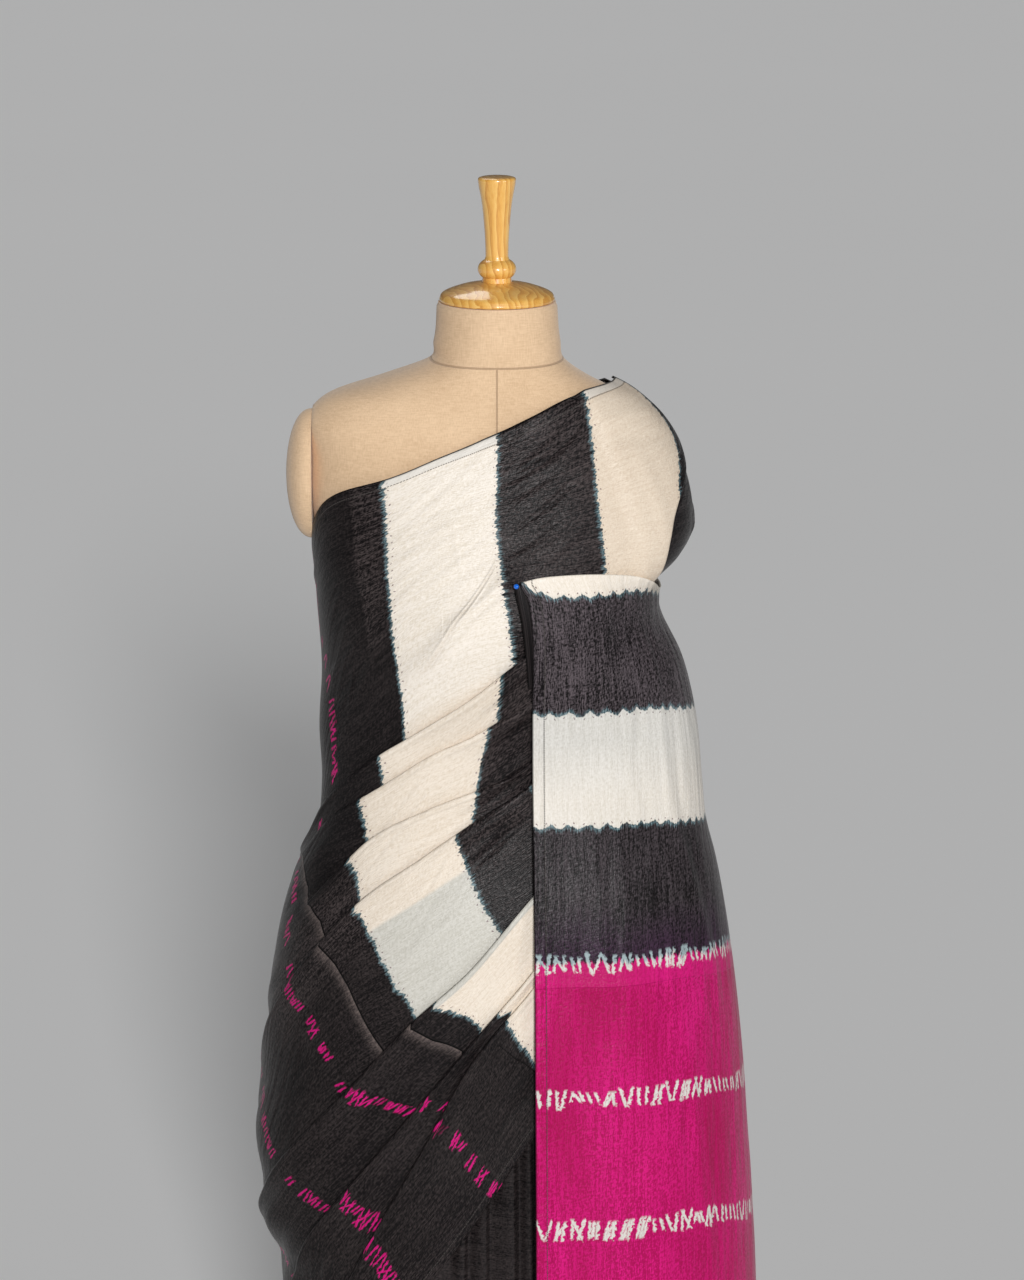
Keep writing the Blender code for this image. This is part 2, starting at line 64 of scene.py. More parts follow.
camera_data = bpy.data.cameras.new("studio_camera")
camera_data.sensor_width = 36.0
camera_data.lens = CAMERA_LENS
camera = bpy.data.objects.new("studio_camera", camera_data)
camera.location = CAMERA_PLACE
camera.rotation_euler = (math.radians(CAMERA_PITCH), 0.0, 0.0)
bpy.context.scene.collection.objects.link(camera)
bpy.context.scene.camera = camera
print("camera at", CAMERA_PLACE, "lens", CAMERA_LENS)

# %% [markdown]
# ## Reading short tables with a smooth curve
# Cloth has no corners where nobody put one. So each outline is a short table of sizes, and a smooth
# curve is led through its rows.

# %% Smooth tables
def smooth(xs, ys, x):
    """Read a table with a smooth curve through its rows."""
    xs = np.asarray(xs, float)
    ys = np.asarray(ys, float)
    slopes = np.gradient(ys, xs)
    row = np.clip(np.searchsorted(xs, x) - 1, 0, len(xs) - 2)
    width = xs[row + 1] - xs[row]
    t = np.clip((x - xs[row]) / width, 0.0, 1.0)
    rise = t * t * (3 - 2 * t)
    start = t * (1 - t) ** 2 * width * slopes[row]
    end = t * t * (t - 1) * width * slopes[row + 1]
    return ys[row] * (1 - rise) + ys[row + 1] * rise + start + end


def along(pairs, x):
    """Read a table of pairs with the same smooth curve."""
    keys, values = zip(*pairs)
    return smooth(keys, values, np.asarray(x, float))


def ease(low, high, x):
    """Rise softly from 0 at low to 1 at high."""
    t = np.clip((x - low) / (high - low), 0.0, 1.0)
    return t * t * (3 - 2 * t)


print("halfway between 0 and 1:", smooth((0, 1, 2), (0, 1, 2), np.array([0.5])))

# %% [markdown]
# ## The figure under the cloth
# A tailor measures a figure by how far it reaches to each side at each height. These are the same
# sizes as the solids have. The section between them is a rounded oval.

# %% Sections of the form and of the dressed figure
SECTION_COLUMNS = ("z", "right", "left", "front", "back")
SECTION_POWER = 2.3
CHEST_HEIGHT = 1.20
SHOULDER_ARC = 0.22

FORM_SECTIONS = (
    (0.800, 0.120, 0.120, 0.085, 0.090),
    (0.812, 0.152, 0.152, 0.104, 0.112),
    (0.850, 0.168, 0.168, 0.114, 0.122),
    (0.900, 0.170, 0.170, 0.115, 0.122),
    (0.950, 0.159, 0.159, 0.108, 0.112),
    (1.000, 0.144, 0.144, 0.100, 0.101),
    (1.045, 0.138, 0.138, 0.096, 0.096),
    (1.100, 0.149, 0.143, 0.107, 0.096),
    (1.180, 0.158, 0.146, 0.126, 0.103),
    (1.230, 0.172, 0.146, 0.123, 0.106),
    (1.280, 0.186, 0.160, 0.110, 0.105),
    (1.340, 0.190, 0.168, 0.090, 0.095),
    (1.385, 0.188, 0.144, 0.077, 0.081),
    (1.402, 0.166, 0.122, 0.071, 0.073),
    (1.418, 0.1165, 0.091, 0.066, 0.068),
    (1.435, 0.070, 0.068, 0.062, 0.064),
    (1.455, 0.0635, 0.0635, 0.061, 0.062),
    (1.494, 0.060, 0.060, 0.060, 0.060),
)

DRAPE_SECTIONS = (
    (0.000, 0.230, 0.268, 0.215, 0.205),
    (0.250, 0.223, 0.262, 0.200, 0.192),
    (0.450, 0.224, 0.257, 0.186, 0.182),
    (0.500, 0.227, 0.2545, 0.182, 0.179),
    (0.517, 0.2345, 0.2533, 0.181, 0.178),
    (0.545, 0.2445, 0.2515, 0.1795, 0.1765),
    (0.575, 0.246, 0.2495, 0.178, 0.175),
    (0.610, 0.250, 0.2465, 0.176, 0.172),
    (0.690, 0.239, 0.2405, 0.170, 0.168),
    (0.800, 0.232, 0.2285, 0.161, 0.160),
    (0.860, 0.2195, 0.2195, 0.154, 0.154),
    (0.910, 0.202, 0.210, 0.144, 0.145),
    (0.950, 0.186, 0.200, 0.135, 0.134),
    (1.000, 0.1795, 0.1945, 0.126, 0.121),
    (1.060, 0.1805, 0.189, 0.124, 0.113),
    (1.120, 0.177, 0.176, 0.136, 0.113),
    (1.190, 0.182, 0.155, 0.146, 0.118),
    (1.215, 0.184, 0.160, 0.144, 0.119),
    (1.240, 0.187, 0.184, 0.140, 0.120),
    (1.265, 0.189, 0.196, 0.132, 0.1195),
    (1.290, 0.191, 0.196, 0.124, 0.118),
    (1.340, 0.194, 0.1818, 0.105, 0.105),
    (1.385, 0.192, 0.1512, 0.085, 0.085),
    (1.402, 0.171, 0.130, 0.079, 0.080),
    (1.418, 0.122, 0.098, 0.072, 0.074),
    (1.435, 0.080, 0.076, 0.067, 0.069),
    (1.490, 0.066, 0.066, 0.062, 0.062),
)


def reach(sections, column, z):
    rows = np.asarray(sections)
    return smooth(rows[:, 0], rows[:, SECTION_COLUMNS.index(column)], z)


def beyond(sections, x, y, z):
    """Less than 1 inside the rounded sections, 1 on them and more outside."""
    wide = np.where(x < 0, reach(sections, "right", z), reach(sections, "left", z))
    deep = np.where(y < 0, reach(sections, "front", z), reach(sections, "back", z))
    return (np.abs(x) / wide) ** SECTION_POWER + (np.abs(y) / deep) ** SECTION_POWER


def figure(turn, height):
    """The point on the outside of the dressed figure at a turn and height."""
    turn, height = np.broadcast_arrays(np.asarray(turn, float), np.asarray(height, float))
    angle = np.radians(turn)
    rise = np.maximum(0.0, height - CHEST_HEIGHT) / SHOULDER_ARC
    foot = np.minimum(height, CHEST_HEIGHT)
    way = np.stack((np.sin(angle) * np.cos(rise), -np.cos(angle) * np.cos(rise), np.sin(rise)), -1)
    near = np.asarray(beyond(DRAPE_SECTIONS, way[..., 0], way[..., 1], foot) ** (-1 / SECTION_POWER))
    above = rise > 0
    near[above] = search(way[above], foot[above])
    point = way * near[..., None]
    point[..., 2] += foot
    return point


def search(way, foot):
    """How far each way goes before it leaves the figure, by halving the range it must be in."""
    near = np.zeros_like(foot)
    far = np.full_like(foot, 0.5)
    for _ in range(24):
        middle = (near + far) / 2
        point = way * middle[..., None]
        outside = beyond(DRAPE_SECTIONS, point[..., 0], point[..., 1], point[..., 2] + foot) > 1
        far = np.where(outside, middle, far)
        near = np.where(outside, near, middle)
    return near


def place(turn, height, lift):
    """The point that stands out from the figure by lift."""
    turn, height, lift = np.broadcast_arrays(*(np.asarray(v, float) for v in (turn, height, lift)))
    across = figure(turn + 0.8, height) - figure(turn - 0.8, height)
    upward = figure(turn, height + 0.003) - figure(turn, height - 0.003)
    outward = np.cross(across, upward)
    outward /= np.linalg.norm(outward, axis=-1, keepdims=True)
    return figure(turn, height) + outward * lift[..., None]


print("front of the chest:", place(0.0, CHEST_HEIGHT, 0.0).round(3))

# %% [markdown]
# ## Folds across the front
# A sari is as wide as the wearer is high from waist to floor, so its width is laid in folds that run
# slantwise across the front. Each fold has a height at a few turns round the figure. Its edge stands
# out by a step that grows in from the side.

# %% Fold lines
FOLD_TURNS = (-235, -200, -150, -120, -90, -70, -50, -30, -10, 10, 30, 50, 72, 104)
# Columns: step, turn where it starts to grow, turn where it is whole, height at each fold turn
FOLDS = {
    "upper_selvage": (0.0, -120, -85,
        1.060, 1.085, 1.140, 1.190, 1.240, 1.312, 1.360, 1.408, 1.436, 1.448, 1.451, 1.449, 1.441, 1.432),
    "waist_fold_1": (0.0065, -140, -95,
        0.790, 0.800, 0.830, 0.872, 0.937, 0.997, 1.049, 1.086, 1.120, 1.162, 1.192, 1.203, 1.205, 1.206),
    "waist_fold_2": (0.0060, -110, -78,
        0.740, 0.745, 0.770, 0.815, 0.905, 0.971, 1.015, 1.054, 1.079, 1.110, 1.140, 1.158, 1.165, 1.166),
    "waist_fold_3": (0.0060, -78, -50,
        0.650, 0.655, 0.680, 0.725, 0.815, 0.888, 0.964, 0.999, 1.020, 1.040, 1.080, 1.110, 1.124, 1.126),
    "waist_fold_4": (0.0075, -112, -84,
        0.510, 0.515, 0.540, 0.595, 0.690, 0.797, 0.898, 0.951, 0.989, 1.018, 1.050, 1.078, 1.094, 1.096),
    "hip_fold_1": (0.0085, -140, -95,
        0.360, 0.365, 0.385, 0.430, 0.515, 0.598, 0.696, 0.783, 0.842, 0.904, 0.955, 0.998, 1.026, 1.030),
    "hip_fold_2": (0.0080, -100, -70,
        0.210, 0.215, 0.235, 0.300, 0.400, 0.475, 0.583, 0.683, 0.765, 0.832, 0.900, 0.955, 0.995, 1.005),
    "hip_fold_3": (0.0065, -100, -60,
        0.110, 0.115, 0.135, 0.200, 0.310, 0.390, 0.478, 0.617, 0.742, 0.815, 0.880, 0.935, 0.975, 0.985),
    "lower_selvage": (0.0, -100, -60,
        0.016, 0.017, 0.030, 0.090, 0.200, 0.290, 0.380, 0.475, 0.568, 0.661, 0.740, 0.800, 0.840, 0.850),
}
FOLD_NAMES = tuple(FOLDS)
CHEST_TUCK = (
    0.930, 0.935, 0.960, 1.000, 1.055, 1.095, 1.120, 1.162, 1.225, 1.290, 1.330, 1.355, 1.375, 1.380)


def fold_height(name, turn):
    return smooth(FOLD_TURNS, FOLDS[name][3:], turn)


def fold_growth(name, turn):
    """0 where the cloth still lies flat, 1 where the fold is whole."""
    grow_from, grow_to = FOLDS[name][1:3]
    return ease(grow_from, grow_to, turn)


def fold_step(name, turn):
    return FOLDS[name][0] * fold_growth(name, turn)


print(len(FOLD_NAMES) - 2, "folds between the two selvages")

# %% [markdown]
# ## Slack and wrinkles
# Between the folds the cloth isn't smooth. Broad swells are slack, and the fine ridges are pulls that
# run from a fold or the pin. Each ridge is listed: where it starts and ends, how wide it is
# and how far it stands out. A negative height is a trough.

# %% Slack and wrinkles
# About how many metres of cloth one degree round the figure takes
PER_DEGREE = 0.0032

# Columns: turn and height of one end, turn and height of the other, width, depth
CHEST_WRINKLES = (
    (3, 1.392, 46, 1.424, 0.0034, -0.0028),
    (4, 1.399, 44, 1.430, 0.0034, 0.0016),
    (2, 1.372, 34, 1.396, 0.0050, -0.0016),
    (5, 1.300, 30, 1.345, 0.0060, -0.0014),
    (8, 1.262, 36, 1.318, 0.0060, 0.0013),
    (-27.5, 1.146, 2.6, 1.243, 0.0030, 0.0017),
    (-27.0, 1.150, 1.6, 1.248, 0.0024, -0.0013),
    (-26.4, 1.154, 0.8, 1.252, 0.0030, 0.0013),
    (-36, 1.120, -4, 1.190, 0.0040, 0.0009),
    (-32, 1.220, -6, 1.290, 0.0040, -0.0008),
    (-42, 1.290, -12, 1.350, 0.0040, 0.0008),
    (-36, 1.330, -8, 1.380, 0.0036, -0.0007),
    (6, 1.330, 40, 1.385, 0.0040, -0.0016),
    (2, 1.285, 26, 1.318, 0.0040, 0.0013),
    (-61, 1.095, -57, 1.140, 0.0016, 0.0012),
    (-60, 1.062, -46, 1.078, 0.0014, 0.0010),
    (-30, 1.150, -8, 1.225, 0.0060, 0.0013),
    (-36, 1.190, -14, 1.262, 0.0075, -0.0010),
    (-19, 1.330, -14, 1.275, 0.0030, 0.0008),
    (-45, 1.260, -18, 1.320, 0.0090, 0.0010),
    (-66, 1.180, -50, 1.230, 0.0060, -0.0014),
    (-72, 1.120, -48, 1.175, 0.0055, 0.0018),
    (-74, 1.090, -52, 1.140, 0.0050, -0.0016),
    (50, 1.420, 84, 1.392, 0.0060, 0.0012),
    (54, 1.400, 82, 1.360, 0.0070, -0.0010),
    (62, 1.380, 64, 1.260, 0.0090, 0.0014),
    (48, 1.360, 56, 1.262, 0.0080, -0.0009),
    (-150, 1.080, -110, 1.150, 0.0090, 0.0016),
    (-190, 1.020, -140, 1.090, 0.0100, -0.0015),
    (-215, 0.960, -165, 1.030, 0.0080, 0.0018),
    (-130, 0.980, -92, 1.080, 0.0080, 0.0016),
    (-120, 0.930, -90, 1.010, 0.0060, -0.0014),
    (-228, 0.870, -190, 0.930, 0.0070, 0.0016),
    (-100, 1.190, -78, 1.235, 0.0060, 0.0012),
)

WAIST_WRINKLES = (
    (-6, 1.096, 16, 1.150, 0.0048, -0.0030),
    (-4, 1.110, 16, 1.164, 0.0046, 0.0026),
    (-8, 1.046, 16, 1.100, 0.0056, -0.0036),
    (-8, 1.064, 15, 1.116, 0.0050, 0.0034),
    (-12, 1.000, 14, 1.056, 0.0066, 0.0036),
    (-20, 0.986, 12, 1.038, 0.0056, -0.0034),
    (-22, 0.962, 10, 1.008, 0.0060, 0.0028),
    (-10, 0.948, 12, 0.992, 0.0050, -0.0026),
    (-44, 1.018, -26, 1.054, 0.0046, 0.0012),
    (-78, 0.920, -54, 0.990, 0.0046, 0.0018),
    (-84, 0.860, -58, 0.950, 0.0050, -0.0016),
    (-70, 0.800, -46, 0.905, 0.0060, 0.0016),
    (-80, 0.760, -60, 0.842, 0.0060, -0.0014),
    (-34, 0.845, -6, 0.925, 0.0080, 0.0012),
    (-30, 0.900, 0, 0.968, 0.0060, -0.0014),
    (-104, 0.700, -80, 0.800, 0.0070, 0.0018),
    (-98, 0.600, -78, 0.690, 0.0070, -0.0016),
    (-150, 0.760, -105, 0.850, 0.0080, 0.0016),
    (-190, 0.700, -140, 0.740, 0.0090, -0.0014),
    (-225, 0.590, -180, 0.640, 0.0090, 0.0016),
    (-160, 0.560, -120, 0.640, 0.0100, 0.0018),
)

HIP_WRINKLES = (
    (-84, 0.500, -52, 0.640, 0.0070, 0.0020),
    (-88, 0.460, -62, 0.560, 0.0070, -0.0016),
    (-60, 0.560, -34, 0.700, 0.0080, 0.0012),
    (-40, 0.520, -16, 0.640, 0.0090, 0.0012),
    (-28, 0.560, -4, 0.700, 0.0060, -0.0010),
    (-50, 0.430, -30, 0.520, 0.0070, 0.0014),
    (-70, 0.360, -48, 0.430, 0.0080, -0.0014),
    (0, 0.730, 16, 0.800, 0.0050, 0.0014),
    (-6, 0.660, 14, 0.730, 0.0060, -0.0012),
    (-120, 0.380, -92, 0.500, 0.0100, 0.0020),
    (-150, 0.280, -112, 0.380, 0.0110, -0.0018),
    (-200, 0.300, -160, 0.340, 0.0110, 0.0018),
    (-225, 0.160, -180, 0.220, 0.0120, 0.0020),
    (-180, 0.110, -130, 0.190, 0.0110, -0.0018),
)


def wrinkles(table, turn, height):
    """Add up the ridges and troughs of a table at each point."""
    lift = np.zeros_like(height)
    for turn_a, height_a, turn_b, height_b, width, depth in table:
        run = (turn_b - turn_a) * PER_DEGREE
        rise = height_b - height_a
        span = math.hypot(run, rise)
        from_a = (turn - turn_a) * PER_DEGREE
        up_a = height - height_a
        way = (from_a * run + up_a * rise) / span
        side = (up_a * run - from_a * rise) / span
        fade = ease(-0.15, 0.30, way / span) * ease(1.15, 0.70, way / span)
        lift += depth * np.exp(-(side / width) ** 2) * fade
    return lift


def soft_wave(turn, height):
    """Slack in the cloth: broad diagonal swells, never below zero."""
    return 0.0010 * (1 + np.sin(np.radians(turn * 3.1) + height * 17.0))


def back_flutes(turn, height):
    """The cloth hangs in a few broad folds behind the hips."""
    wave = 1 + np.sin(np.radians(turn * 6.0) + 1.2 * np.sin(np.radians(turn * 2.0)))
    return 0.0035 * wave * ease(-112, -140, turn) * ease(1.0, 0.45, height)


print(len(CHEST_WRINKLES) + len(WAIST_WRINKLES) + len(HIP_WRINKLES), "wrinkles on the wound cloth")

# %% [markdown]
# ## Shader maths as plain expressions
# A dyed cloth needs a lot of small sums: how far a point is from a stripe's edge, which tied spot it
# lies in. Written as nodes one by one they can't be read. So a value wraps a socket, and an
# expression on values adds its Math nodes.

# %% Values and finishes
class Value:
    """A number that changes over the surface."""

    def __init__(self, finish, socket):
        self.finish = finish
        self.socket = socket

    def maths(self, operation, *others, clamp=False):
        operands = dict(enumerate((self, *others)))
        return self.finish.node("ShaderNodeMath", {"operation": operation, "use_clamp": clamp}, operands)

    def __add__(self, other):
        return self.maths("ADD", other)

    def __sub__(self, other):
        return self.maths("SUBTRACT", other)

    def __mul__(self, other):
        return self.maths("MULTIPLY", other)

    def __truediv__(self, other):
        return self.maths("DIVIDE", other)

    def __radd__(self, other):
        return self + other

    def __rsub__(self, other):
        return self * -1.0 + other

    def __rmul__(self, other):
        return self * other

    def size(self):
        return self.maths("ABSOLUTE")

    def floor(self):
        return self.maths("FLOOR")

    def least(self, other):
        return self.maths("MINIMUM", other)

    def most(self, other):
        return self.maths("MAXIMUM", other)

    def above(self, level, soft):
        """0 below the level, 1 above it, with a soft step of the given width."""
        return self.maths("MULTIPLY_ADD", 1.0 / soft, 0.5 - level / soft, clamp=True)

    def below(self, level, soft):
        return self.maths("MULTIPLY_ADD", -1.0 / soft, 0.5 + level / soft, clamp=True)


class Finish:
    """A material, and the nodes that its look is worked out with."""

    def __init__(self, name, **sockets):
        self.material = bpy.data.materials.new(name)
        self.material.use_nodes = True
        self.tree = self.material.node_tree
        self.shader = self.tree.nodes["Principled BSDF"]
        for socket, value in sockets.items():
            self.shader.inputs[socket.replace("_", " ")].default_value = value

    def node(self, kind, settings=None, inputs=None, output=0):
        """Add a node: its settings first, then the values or links of its sockets."""
        made = self.tree.nodes.new(kind)
        for key, value in (settings or {}).items():
            if key == "stops":
                stops = made.color_ramp.elements
                for spot, (position, colour) in enumerate(value):
                    stop = stops[0] if spot == 0 else stops.new(position)
                    stop.position = position
                    stop.color = (*colour, 1.0)
                stops.remove(stops[-1])
            else:
                setattr(made, key, value)
        for key, value in (inputs or {}).items():
            self.feed(made.inputs[key], value)
        return Value(self, made.outputs[output])

    def feed(self, socket, value):
        if isinstance(value, Value):
            self.tree.links.new(value.socket, socket)
        elif isinstance(value, tuple) and len(value) == 3 and socket.type == "RGBA":
            socket.default_value = (*value, 1.0)
        else:
            socket.default_value = value

    def vector(self, x=0.0, y=0.0, z=0.0):
        return self.node("ShaderNodeCombineXYZ", {}, {0: x, 1: y, 2: z})

    def parts(self, vector):
        split = self.node("ShaderNodeSeparateXYZ", {}, {0: vector}).socket.node
        return [Value(self, socket) for socket in split.outputs]

    def noise(self, vector, detail=2.0, scale=1.0, rough=0.5):
        inputs = {"Vector": vector, "Scale": scale, "Detail": detail, "Roughness": rough}
        return self.node("ShaderNodeTexNoise", {}, inputs)

    def mix(self, share, first, second):
        inputs = {0: share, 6: first, 7: second}
        return self.node("ShaderNodeMix", {"data_type": "RGBA"}, inputs, output=2)

    def ramp(self, value, stops):
        return self.node("ShaderNodeValToRGB", {"stops": stops}, {0: value})

    def bump(self, height, distance, strength=1.0):
        inputs = {"Height": height, "Distance": distance, "Strength": strength}
        self.use("Normal", self.node("ShaderNodeBump", {}, inputs))

    def use(self, socket, value):
        self.feed(self.shader.inputs[socket], value)


def shade(red, green, blue):
    """A colour as a painter reads it, 0 to 255, turned into the light that it sends back."""
    parts = (red / 255, green / 255, blue / 255)
    return tuple(p / 12.92 if p <= 0.04045 else ((p + 0.055) / 1.055) ** 2.4 for p in parts)


print("ivory sends back", [round(part, 2) for part in shade(240, 232, 214)])

# %% [markdown]
# ## Floor and light
# The studio is plain: a pale floor that runs back out of sight, a low soft key light from the front
# that throws the shadow back to the left, a weak light from the right and one from behind. The
# Standard view keeps strong dyes strong, where a filmic view would grey the magenta.

# %% Floor and lights
FLOOR_SIDE = 120.0
PAPER_SHADE = (0.885, 0.885, 0.885)
PAPER = (0.905, 0.905, 0.905)
WORLD_LIGHT = (0.98, 0.99, 1.0)
WORLD_STRENGTH = 0.08
# Columns: name, turn round the figure, height angle, strength, softness
LIGHTS = (
    ("key_light", 6.0, 16.5, 2.58, 9.0),
    ("side_light", 50.0, 14.0, 0.42, 20.0),
    ("back_light", 200.0, 50.0, 0.55, 30.0),
)


def studio_floor():
    floor = bmesh.new()
    bmesh.ops.create_grid(floor, x_segments=8, y_segments=8, size=FLOOR_SIDE / 2)
    mesh = bpy.data.meshes.new("studio_floor")
    floor.to_mesh(mesh)
    floor.free()
    made = bpy.data.objects.new("studio_floor", mesh)
    bpy.context.scene.collection.objects.link(made)
    paper = Finish("floor_paper", Roughness=0.95)
    spot = paper.node("ShaderNodeTexCoord", output=3)
    cloud = paper.noise(spot, scale=0.35, detail=2.0)
    paper.use("Base Color", paper.mix(cloud, PAPER_SHADE, PAPER))
    mesh.materials.append(paper.material)


def soft_sun(name, across, height, strength, softness):
    """A large light far away: its turn round the figure, its height angle, strength and softness."""
    data = bpy.data.lights.new(name, "SUN")
    data.energy = strength
    data.angle = math.radians(softness)
    lamp = bpy.data.objects.new(name, data)
    lamp.rotation_euler = (math.radians(90.0 - height), 0.0, math.radians(across))
    lamp.location = (0.0, 0.0, 3.0)
    bpy.context.scene.collection.objects.link(lamp)


studio_floor()
world = bpy.context.scene.world or bpy.data.worlds.new("studio")
bpy.context.scene.world = world
world.use_nodes = True
backing = world.node_tree.nodes["Background"]
backing.inputs["Color"].default_value = (*WORLD_LIGHT, 1.0)
backing.inputs["Strength"].default_value = WORLD_STRENGTH
bpy.context.scene.view_settings.view_transform = "Standard"
for light in LIGHTS:
    soft_sun(*light)
print("floor and", len(LIGHTS), "lights")

# %% [markdown]
# ## How a piece is finished
# Every piece ends the same way: its mesh gets a material, it rides on the one rigid body and it
# stands for its solid. One helper says all three.

# %% Finishing a piece
def finish_piece(name, shape, finish, replaced=(), smooth_angle=50.0, faces_out=True):
    """Turn a bmesh into a finished object."""
    mesh = bpy.data.meshes.new(name)
    if faces_out:
        bmesh.ops.recalc_face_normals(shape, faces=shape.faces)
    shape.to_mesh(mesh)
    shape.free()
    mesh.materials.append(finish.material)
    mesh.shade_smooth()
    mesh.set_sharp_from_angle(angle=math.radians(smooth_angle))
    made = bpy.data.objects.new(name, mesh)
    bpy.context.scene.collection.objects.link(made)
    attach(made, "root")
    if replaced:
        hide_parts(*replaced)
    return made


def triangles(made):
    """How many triangles a piece has with its modifiers on."""
    evaluated = made.evaluated_get(bpy.context.evaluated_depsgraph_get())
    return sum(len(face.vertices) - 2 for face in evaluated.data.polygons)


# %% [markdown]
# ## Slub silk and its dyes
# The silk is hand spun, so threads swell and thin out. Seen close, short dashes run along the length
# and the light breaks on them. The dye was stitched and tied off, which gives each stripe's edge fine
# teeth, stitch holes and a bleed of teal, and makes the tied rows small slanted strokes. All of it is
# worked out from two cloth coordinates, kept as a UV map: how far along the length a point lies,
# and how far across the width.

# %% Silk
BLACK_DEEP = (0.0050, 0.0040, 0.0044)
BLACK_SHEEN = (0.078, 0.062, 0.061)
# Painted highlight beside the storage crease
BLACK_PAINTED_HIGHLIGHT = (0.210, 0.165, 0.150)
BLACK_PLUM = (0.115, 0.094, 0.104)
# Painted shadow along the storage crease
CREASE_PAINTED_SHADOW = (0.002, 0.002, 0.002)
IVORY = (0.90, 0.83, 0.745)
IVORY_SHADE = (0.76, 0.68, 0.57)
# Darker, warmer ivory: the silk's cream tone with painted shade
IVORY_WARM_SHADED = (0.80, 0.69, 0.56)
IVORY_WARM_SHADED_DEEP = (0.66, 0.54, 0.42)
# Painted shade: greyer ivory for one panel
IVORY_PAINTED_SHADE = (0.650, 0.630, 0.575)
IVORY_PAINTED_SHADE_DEEP = (0.540, 0.520, 0.460)
PALE_HEM = (0.72, 0.70, 0.66)
PALE_SHADE = (0.54, 0.52, 0.47)
TEAL = (0.24, 0.35, 0.38)
TEAL_DEEP = (0.020, 0.055, 0.068)
MAGENTA = (0.380, 0.0030, 0.085)
MAGENTA_DEEP = (0.330, 0.0020, 0.060)
MAGENTA_LIGHT = (0.640, 0.010, 0.190)
MAGENTA_SPOT = (0.640, 0.010, 0.215)
AUBERGINE = (0.050, 0.018, 0.050)
OLIVE_PAINTED_SHADE = (0.36, 0.33, 0.26)
# Painted shade for the valley of the double ridge
VALLEY_PAINTED_SHADE = (0.42, 0.30, 0.18)
STITCH = (0.070, 0.062, 0.058)
STITCH_HOLE = (0.10, 0.03, 0.05)
DYE_SOFT = 0.0009
ROW_PITCH = 0.1145
FIRST_ROW = -0.117
WRAP_STROKES = (0.0140, 0.0076, 4.0)
PALLU_ROW_PITCH = 0.1365
PALLU_STROKES = (0.0170, 0.0098, 6.0, 0.12)


